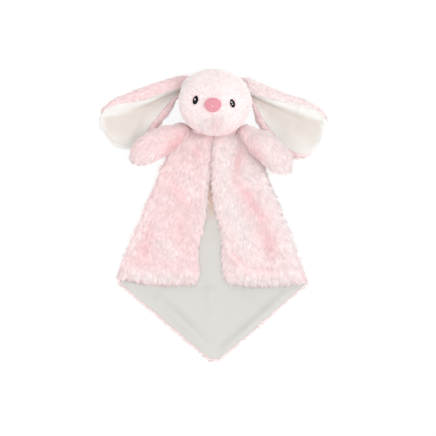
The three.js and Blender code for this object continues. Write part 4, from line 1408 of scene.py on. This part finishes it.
# Blanket
blanketLook = {
    # the blanket's corners, and each flap's inner edge, as shares of its half width and length
    "shares": {
        "neckLeft": (-0.357, 0), "foldLeft": (-1.029, 0.634), "cornerLeft": (-0.98, 0.664), "tip": (0.006, 1),
        "cornerRight": (0.962, 0.665), "foldRight": (0.971, 0.651), "neckRight": (0.349, 0),
    },
    "edge": {
        "left": [
            (-0.022, 0.048), (-0.052, 0.214), (-0.052, 0.312), (-0.078, 0.424),
            (-0.136, 0.521), (-0.136, 0.618), (-0.18, 0.668),
        ],
        "right": [
            (-0.005, 0.048), (-0.023, 0.117), (-0.027, 0.27), (-0.009, 0.368),
            (0.051, 0.452), (0.052, 0.545), (0.07, 0.618), (0.13, 0.664),
        ],
    },
    "flapStart": 0.02,  # of the fold line
    # from the neck down, how far the cloth stays inside the pile's outline: at the fold
    "foldInset": [(0, 2.2 * mm), (0.35, 0.6 * mm), (0.8, 0.8 * mm), (1, 2.6 * mm)],
    # and at the slit, which is closed above and open below
    "edgeInset": [
        (0, -0.8 * mm), (0.12, 0.0), (0.3, 1.6 * mm), (0.41, 3.2 * mm), (0.47, 3.9 * mm), (0.52, 4.8 * mm),
        (0.62, 4.4 * mm), (1, 4.4 * mm),
    ],
    "openStart": 0.25,  # of the fold line, where the flap starts to lift
    "openEnd": 0.52,
    "sag": 5.5 * mm,  # how far a flap's lower edge hangs down in its middle
    "cornerSag": 3.4 * mm,
    "bottomInset": 3.0 * mm,
    "plush": 2.6 * mm,
    "hem": 2.6 * mm,  # how far a lining stays inside its plush
    "lumps": 0.25 * mm,
    "lumpSize": 24 * mm,
    "flapGrid": (90, 46),  # rows and columns
    "flapLiningGrid": (90, 60),
    "flapFlat": (96 * mm, 200 * mm),
    "flapArea": 0.62,  # as a share of that flat rectangle
    "flapLiningArea": 0.58,
    # how high a flap is at its rims, and over which share of its width or length it gets there
    "rims": {"fold": (0.15, 0.0, 0.06), "slit": (0.2, 1.0, 0.93), "bottom": (0.25, 1.0, 0.965)},
    # how much each rim combs the pile outwards, and how far that reaches
    "flapComb": {"fold": (0.95, 22 * mm), "slit": (-0.8, 14 * mm), "neck": (0.5, 45 * mm)},
    "combSink": -0.12,
    # pinker on the left flap, away from the key light, and in the valleys of the folds, as painted shade;
    # paler on the ridges, as a painted highlight; a little paler near the neck
    "flapPink": {"left": 0.34, "right": 0.17},
    "neckPink": (-0.08, 30 * mm),
    "valleyShadePink": (0.42, 1.8 * mm),
    "ridgeHeight": 2 * mm,
    "rimSoft": 0.35,
    "rimSoftRun": (1 * mm, 8 * mm),
    "frontReach": 12 * mm,  # from this far above the folded corner down, a flap's rim has pile too
    "backGrid": (120, 60),
    "backFlat": 250 * mm,
    "backInset": 1.4 * mm,  # of the plush beside the flaps
    "backEnds": (0.5 * mm, 3 * mm),  # how far the plush stays short of the neck and of the lower tip
    "backRim": 0.9 * mm,  # how high the plush is at its rim
    "backDip": 0.1 * mm,  # how far it stays under the plan's height inside
    "backRound": 2 * mm,  # how wide its rounded rim is
    "turnTop": 20 * mm,  # below the neck, where the fold is fully turned up
    "turnLow": (2 * mm, 14 * mm),  # above the folded corners
    # painted shade: the edge's pile is pinker on the left, away from the key light
    "backPink": {"left": 0.3, "right": 0.18},
    "lowPale": 0.6,  # how much paler the pile is at the lower V
    "furRim": (5.0 * mm, 1.8 * mm),  # how wide the edge's pile is beside the flaps and at the lower V
    "besideFur": 0.55,  # how dense it is beside the flaps
    "backArea": 0.64,  # what is left of the square between the two folded corners
    "backLiningArea": 0.95,  # of that
    "fringe": (1.8 * mm, 0.9 * mm),  # how far the plush stands past the lining, at the left and at the right
    "turnIn": (3.2 * mm, 1.6 * mm),  # from the edge, where it starts to turn up to the flap and where it has
    "cornerRun": (2 * mm, 9 * mm),  # below the folded corners, where the edge changes to the lower V
    "liningGrid": (130, 90),
    "liningTip": 2 * mm,  # how far the lining stays short of the plush's lower end
    "margins": (0.9, 0.15),  # of the hem, beside the flaps and at the lower V
    "hidden": (292, 284),  # pixels, above which the lining lies flat under the flaps
    "slitRange": (10 * mm, 5 * mm),  # from the slit's middle, where it doesn't lie quite flat
    "slitFolds": 0.2,
    "edgeRun": 2.4 * mm,  # from the lining's edge, where it comes down, and how far
    "edgeDrop": 0.6 * mm,
    "liningCloth": 1.1 * mm,
    "liningLumps": 0.3 * mm,
    "liningLumpSize": 30 * mm,
    "base": 0.5 * mm,
    "slitX": 211.5,  # pixels
    "slitWide": 6 * mm,
}
# Folds as they lie: from, to (pixels of the photograph), rise and half width in millimetres
flapFolds = {
    "left": [
        ((206, 150), (203, 262), 1.0, 7),
        ((171, 178), (188, 200), -1.5, 6),
        ((196, 146), (202, 154), -1.6, 5),
        ((183, 214), (180, 236), -1.1, 7),
        ((150, 226), (144, 262), -1.3, 7),
        ((152, 190), (121, 262), 1.5, 9),
        ((126, 273), (192, 276), 2.2, 7),
        ((160, 240), (176, 252), 1.0, 8),
        ((190, 170), (194, 196), 1.0, 6),
    ],
    "right": [
        ((222, 146), (228, 205), 1.6, 7),
        ((226, 198), (249, 246), 2.4, 9),
        ((240, 140), (236, 172), -1.8, 5),
        ((247, 168), (250, 180), 1.4, 7),
        ((236, 178), (260, 214), -2.0, 7),
        ((262, 216), (272, 256), -1.8, 10),
        ((232, 248), (246, 267), -1.8, 4.5),
        ((246, 267), (272, 270), -1.4, 4.5),
        ((262, 172), (296, 262), 2.6, 8),
        ((234, 277), (298, 277), 2.4, 6),
    ],
}
liningFolds = [
    ((207, 262), (213, 312), 3.6, 8),
    ((160, 300), (207, 346), 6.0, 7),
    ((284, 296), (226, 348), 5.0, 6),
    ((236, 292), (262, 318), 3.4, 9),
    ((180, 296), (196, 318), -1.4, 8),
    ((222, 300), (220, 340), -1.2, 6),
    ((286, 284), (294, 292), 1.8, 3),
    ((208, 200), (212, 262), 1.2, 6),
]
flapFur = {
    "perSquareMm": 1.4, "length": 8.6 * mm, "width": 0.52 * mm, "lean": 77, "curl": 10, "stray": 0.28,
    "swirl": 0.34, "swirlSize": 26 * mm, "perTuft": 10, "pull": 0.6,
    "soft": 0.65, "lift": 0.6, "contrast": 1.0,
}
edgeFur = {
    "perSquareMm": 1.6, "length": 4.8 * mm, "width": 0.5 * mm, "lean": 66, "curl": 14, "stray": 0.35,
    "swirl": 0.4, "swirlSize": 18 * mm, "perTuft": 8, "pull": 0.5, "soft": 0.8, "lift": 0.8, "contrast": 0.8,
}


def onBlanket(place):
    across, down = place
    return np.array([across * plan["blanketHalf"], plan["neckY"] - down * plan["blanketLength"]])


def foldEnds(side):
    return [onBlanket(blanketLook["shares"][name + side.capitalize()]) for name in ("neck", "fold")]


def innerEdge(side, shares):
    return evenCurve([onBlanket(place) for place in blanketLook["edge"][side]], shares)


def edgeAt(points, y):
    points = np.array(points)
    return np.interp(-y, -points[:, 1], points[:, 0])


def photoY(pixel):
    return fromPhoto(0, pixel)[1]


def flapPlan(side, rows, columns, inset):
    # Points of a flap in plan, from its fold to its inner edge and from the neck to the bottom
    look = blanketLook
    start, end = foldEnds(side)
    shares, across = np.linspace(0, 1, rows), np.linspace(0, 1, columns)
    fold = start + (end - start) * (look["flapStart"] + (1 - look["flapStart"]) * shares)[:, None]
    edge = innerEdge(side, shares)
    inwards = unit(edge - fold)
    edge = edge - inwards * np.reshape(inset, (-1, 1))
    fold = fold + inwards * np.interp(shares, *np.transpose(look["foldInset"]))[:, None]
    last = np.where(shares > 0.97, (shares - 0.97) / 0.03, 0)
    bottom = last[:, None] * unit(end - start) * look["bottomInset"]
    places = fold[:, None] + (edge - fold)[:, None] * across[None, :, None]
    hang = look["sag"] * np.sin(math.pi * across) + look["cornerSag"] * (1 - across) ** 4
    places[:, :, 1] -= hang[None] * smoothStep(0.9, 1.0, shares)[:, None]
    places -= bottom[:, None]
    return places, across, shares


def makeFlap(side):
    look = blanketLook
    rows, columns = look["flapGrid"]
    inset = np.interp(np.linspace(0, 1, rows), *np.transpose(look["edgeInset"]))
    places, across, shares = flapPlan(side, rows, columns, inset)

    def risen(rim, share):
        lowest, low, full = look["rims"][rim]
        return between(lowest, 1, smoothStep(low, full, share))

    rise = (risen("fold", across) * risen("slit", across))[None] * risen("bottom", shares)[:, None]
    lumps = softNoise(withHeight(places.reshape(-1, 2), 0.0), look["lumpSize"], 51 + sides.index(side))
    puff = look["plush"] + foldsOver(flapFolds[side], places) + look["lumps"] * lumps.reshape(rise.shape)
    upper = withHeight(places, plan["flapZ"] + np.maximum(puff * rise, look["base"]))
    lower = withHeight(places, plan["flapZ"])
    skin = bentGrid(f"{side}_flap_plush", np.concatenate([upper, lower[:, ::-1]], axis=1), closed=True)
    dress(skin, "plush")

    start, end = foldEnds(side)
    along = unit(end - start)
    outwards = np.array([-along[1], along[0]])
    outwards *= outward[side] * np.sign(outwards[0])
    edge = innerEdge(side, np.linspace(0, 1, 60))
    order = np.argsort(places[-1, :, 0])
    bottom = places[-1, order]

    def toFold(points):
        return np.abs((points[:, :2] - start) @ outwards)

    def toEdge(points):
        return np.abs(points[:, 0] - edgeAt(edge, points[:, 1]))

    def keep(points, ups):
        front = (ups[:, 1] < -0.4) & (ups[:, 2] > -0.5) & (points[:, 1] < end[1] + look["frontReach"])
        return np.where((ups[:, 2] > 0.05) | front, 1, 0)

    def comb(points, ups):
        away = {"fold": toFold(points), "slit": toEdge(points), "neck": plan["neckY"] - points[:, 1]}
        flow = np.array([0.0, -1.0])
        for rim, (much, reach) in look["flapComb"].items():
            flow = flow + outwards * (much * np.exp(-away[rim] / reach))[:, None]
        return withHeight(flow, look["combSink"])

    def pinkAt(points):
        # Painted shade in the valleys and on the left flap, painted highlight on the ridges
        folds = foldsOver(flapFolds[side], points[:, :2])
        pink = look["flapPink"][side]
        (atNeck, reach), (inValley, depth) = look["neckPink"], look["valleyShadePink"]
        nearNeck = np.exp(-(plan["neckY"] - points[:, 1]) / reach)
        valley, ridge = np.clip(-folds / depth, 0, 1), np.clip(folds / look["ridgeHeight"], 0, 1)
        return pink + atNeck * nearNeck + inValley * valley - pink * ridge

    def softAt(points):
        # Strands that stand out past the cloth are seen from both sides once the flap is open
        toBottom = np.abs(points[:, 1] - np.interp(points[:, 0], bottom[:, 0], bottom[:, 1]))
        nearest = np.minimum(np.minimum(toFold(points), toEdge(points)), toBottom)
        return between(look["rimSoft"], 1, smoothStep(*look["rimSoftRun"], nearest))

    seed = 61 + sides.index(side)
    fur = growFur(f"{side}_flap_pile", skin, flapFur, keep, comb, pinkAt, seed, softAt=softAt)
    dress(fur, "pile")

    under, _, _ = flapPlan(side, *look["flapLiningGrid"], look["hem"])
    sheet = withHeight(under, plan["flapLiningZ"] + plan["lining"])
    lining = bentGrid(f"{side}_flap_velour", sheet[:-2, 1:])
    thicken(lining, plan["lining"])
    dress(lining, "shadedVelour")

    opening = [start + (end - start) * look[key] for key in ("openStart", "openEnd")]
    low, high = [(x, y, plan["flapZ"]) for x, y in opening]
    for piece in (skin, fur, lining):
        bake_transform(piece)
        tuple(low)
        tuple(high)
    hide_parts(f"{side}_flap_fur", f"{side}_flap_top_fur")
    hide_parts(f"{side}_flap_lining", f"{side}_flap_top_lining")


def spanned(left, right, y, shares):
    # A grid from a left to a right edge, and how far each point is from both
    x = left[:, None] + (right - left)[:, None] * shares[None]
    flat = np.stack([x, np.repeat(y[:, None], len(shares), axis=1)], axis=2)
    return flat, x - left[:, None], right[:, None] - x


def makeBack():
    look = blanketLook
    corners = {name: onBlanket(share) for name, share in look["shares"].items()}
    leftEdge, rightEdge = [
        [corners[name] for name in (f"neck{side}", f"fold{side}", f"corner{side}", "tip")]
        for side in ("Left", "Right")
    ]
    rows, columns = look["backGrid"]
    top, low = plan["neckY"] - look["backEnds"][0], corners["tip"][1] + look["backEnds"][1]
    y = top + (low - top) * np.linspace(0, 1, rows)
    cornerY = leftEdge[1][1]
    lowStart, lowFull = cornerY - np.array(look["cornerRun"])
    lowPart = smoothStep(lowStart, lowFull, y)
    inset = look["backInset"] * (1 - lowPart)
    left = edgeAt(leftEdge, y) + inset - look["fringe"][0] * lowPart
    right = edgeAt(rightEdge, y) - inset + look["fringe"][1] * lowPart
    right = np.maximum(right, left + 1 * mm)
    shares = (1 - np.cos(np.linspace(0, math.pi, columns))) / 2  # closer together at the edges
    flat, fromLeft, fromRight = spanned(left, right, y, shares)
    rounded = np.clip(fromLeft / look["backRound"], 0, 1) * np.clip(fromRight / look["backRound"], 0, 1)
    rounded = np.sqrt(rounded)
    z = between(look["backRim"], plan["backPile"] - look["backDip"], rounded)

    def turnedUp(fromEdge, y):
        # Where the blanket folds over to the front its edge turns up to the flap
        turned = np.sqrt(np.clip(fromEdge / (0.8 * mm), 0, 1)) * smoothStep(*look["turnIn"], fromEdge)
        start, full = cornerY + np.array(look["turnLow"])
        return turned * smoothStep(start, full, y) * smoothStep(top, top - look["turnTop"], y)

    z = z + (plan["flapZ"] - z) * turnedUp(np.minimum(fromLeft, fromRight), y[:, None])
    upper, lower = withHeight(flat, z), withHeight(flat, look["base"])
    skin = bentGrid("blanket_back_plush", np.concatenate([upper, lower[:, ::-1]], axis=1), closed=True)
    settle(skin, "plush", "root", "blanket_back_fur")

    rows, columns = look["liningGrid"]
    start = plan["neckY"] - look["hem"]
    y = start + (low + look["liningTip"] - start) * np.linspace(0, 1, rows)
    margin = look["hem"] * between(*look["margins"], smoothStep(lowStart, lowFull, y))
    left, right = edgeAt(leftEdge, y) + margin, edgeAt(rightEdge, y) - margin
    right = np.maximum(right, left + 0.6 * mm)
    flat, fromLeft, fromRight = spanned(left, right, y, np.linspace(0, 1, columns))
    noise = softNoise(withHeight(flat.reshape(-1, 2), 0.0), look["liningLumpSize"], 71)
    folds = foldsOver(liningFolds, flat) + look["liningLumps"] * noise.reshape(flat.shape[:2])
    hidden = smoothStep(*map(photoY, look["hidden"]), flat[:, :, 1])
    slit = smoothStep(*look["slitRange"], np.abs(flat[:, :, 0] - fromPhoto(211, 0)[0]))
    folds = np.maximum(folds, -0.1 * mm) * (1 - hidden * (1 - look["slitFolds"] * slit))
    fromEdge = np.minimum(fromLeft, fromRight)
    edgeDown = smoothStep(0, look["edgeRun"], fromEdge)
    z = plan["liningZ"] + plan["lining"] + folds * edgeDown - look["edgeDrop"] * (1 - edgeDown) ** 2
    turned = turnedUp(fromEdge + (margin - look["backInset"])[:, None], flat[:, :, 1])
    z = z + (plan["flapZ"] + plan["gap"] - z) * turned
    surface = withHeight(flat, z)
    lining = bentGrid("back_velour", surface)
    thicken(lining, look["liningCloth"])
    # Painted shade: the lining in the slit between the flaps is darkened to a warm brown, and a little of
    # that shade shows below it
    away = np.abs(flat[:, :, 0] - fromPhoto(look["slitX"], 0)[0]) / look["slitWide"]
    deep = bell(away, 1) * smoothStep(photoY(226), photoY(196), flat[:, :, 1])
    deep += 0.12 * bell(away, 2.5) * smoothStep(photoY(268), photoY(226), flat[:, :, 1])
    deepen(lining, surface, deep)
    settle(lining, "shadedVelour", "root", "blanket_back_lining")

    def keep(points, ups):
        leftX, rightX = edgeAt(leftEdge, points[:, 1]), edgeAt(rightEdge, points[:, 1])
        inside = np.minimum(points[:, 0] - leftX, rightX - points[:, 0])
        beside = points[:, 1] > cornerY + 4 * mm
        wide, narrow = look["furRim"]
        far = np.where(points[:, 1] < cornerY - 4 * mm, narrow, wide)
        near = np.where(ups[:, 2] < 0.5, 1, smoothStep(1.4 * mm, 0.0, inside - far + 1.4 * mm))
        return near * np.where(ups[:, 2] > -0.5, 1, 0) * np.where(beside, look["besideFur"], 1)

    def comb(points, ups):
        low = points[:, 1] < photoY(281)
        outwards = np.sign(points[:, 0] - 1 * mm) * np.where(low, 0.8, 1.0)
        return withHeight(np.stack([outwards, np.where(low, -0.75, -0.55)], axis=1), -0.1)

    def pinkAt(points):
        # Painted shade: pinker on the left side
        low = smoothStep(cornerY, cornerY - 8 * mm, points[:, 1])
        pink = np.where(points[:, 0] < 0, look["backPink"]["left"], look["backPink"]["right"])
        return pink * (1 - look["lowPale"] * low)

    fur = growFur("blanket_back_pile", skin, edgeFur, keep, comb, pinkAt, 81)
    settle(fur, "pile", "root")


# Neck
neckFur = {**edgeFur, "perSquareMm": 0.8}
# the neck's pile is pinker: painted shade under the chin
neckShape = {"voxel": 2.2 * mm, "smoothing": 2, "pink": 0.35}


def makeNeck():
    skin = softCopy("neck_gather", "neck_pad", neckShape["voxel"])
    refine(skin, neckShape["smoothing"])
    settle(skin, "plush", "root", "neck_pad")

    def keep(points, ups):
        return np.where((ups[:, 2] < 0.97) & (points[:, 2] > plan["flapZ"] + 1 * mm), 1, 0)

    def comb(points, ups):
        return np.stack([ups[:, 0] * 0.8, np.full(len(points), -0.8), np.full(len(points), -0.4)], axis=1)

    fur = growFur("neck_pile", skin, neckFur, keep, comb, always(neckShape["pink"]), 91)
    settle(fur, "pile", "root")


def headSurface():
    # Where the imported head's top lies over a point of the plan
    tree = bvhOf(frame["nodes"]["head_cover"])
    return lambda x, y: tree.ray_cast(Vector((x, y, 1.0)), Vector((0, 0, -1)))[0]


setStage()
materials = makeMaterials()
print("stage and materials ready")
makeHead()
overHead = headSurface()
makeNose(overHead)
for side in sides:
    makeEye(side, overHead)
print("head and face ready")
for side in sides:
    makeArm(side)
    makeEar(side)
print("arms and ears ready")
makeBack()
for side in sides:
    makeFlap(side)
makeNeck()
print("blanket ready")
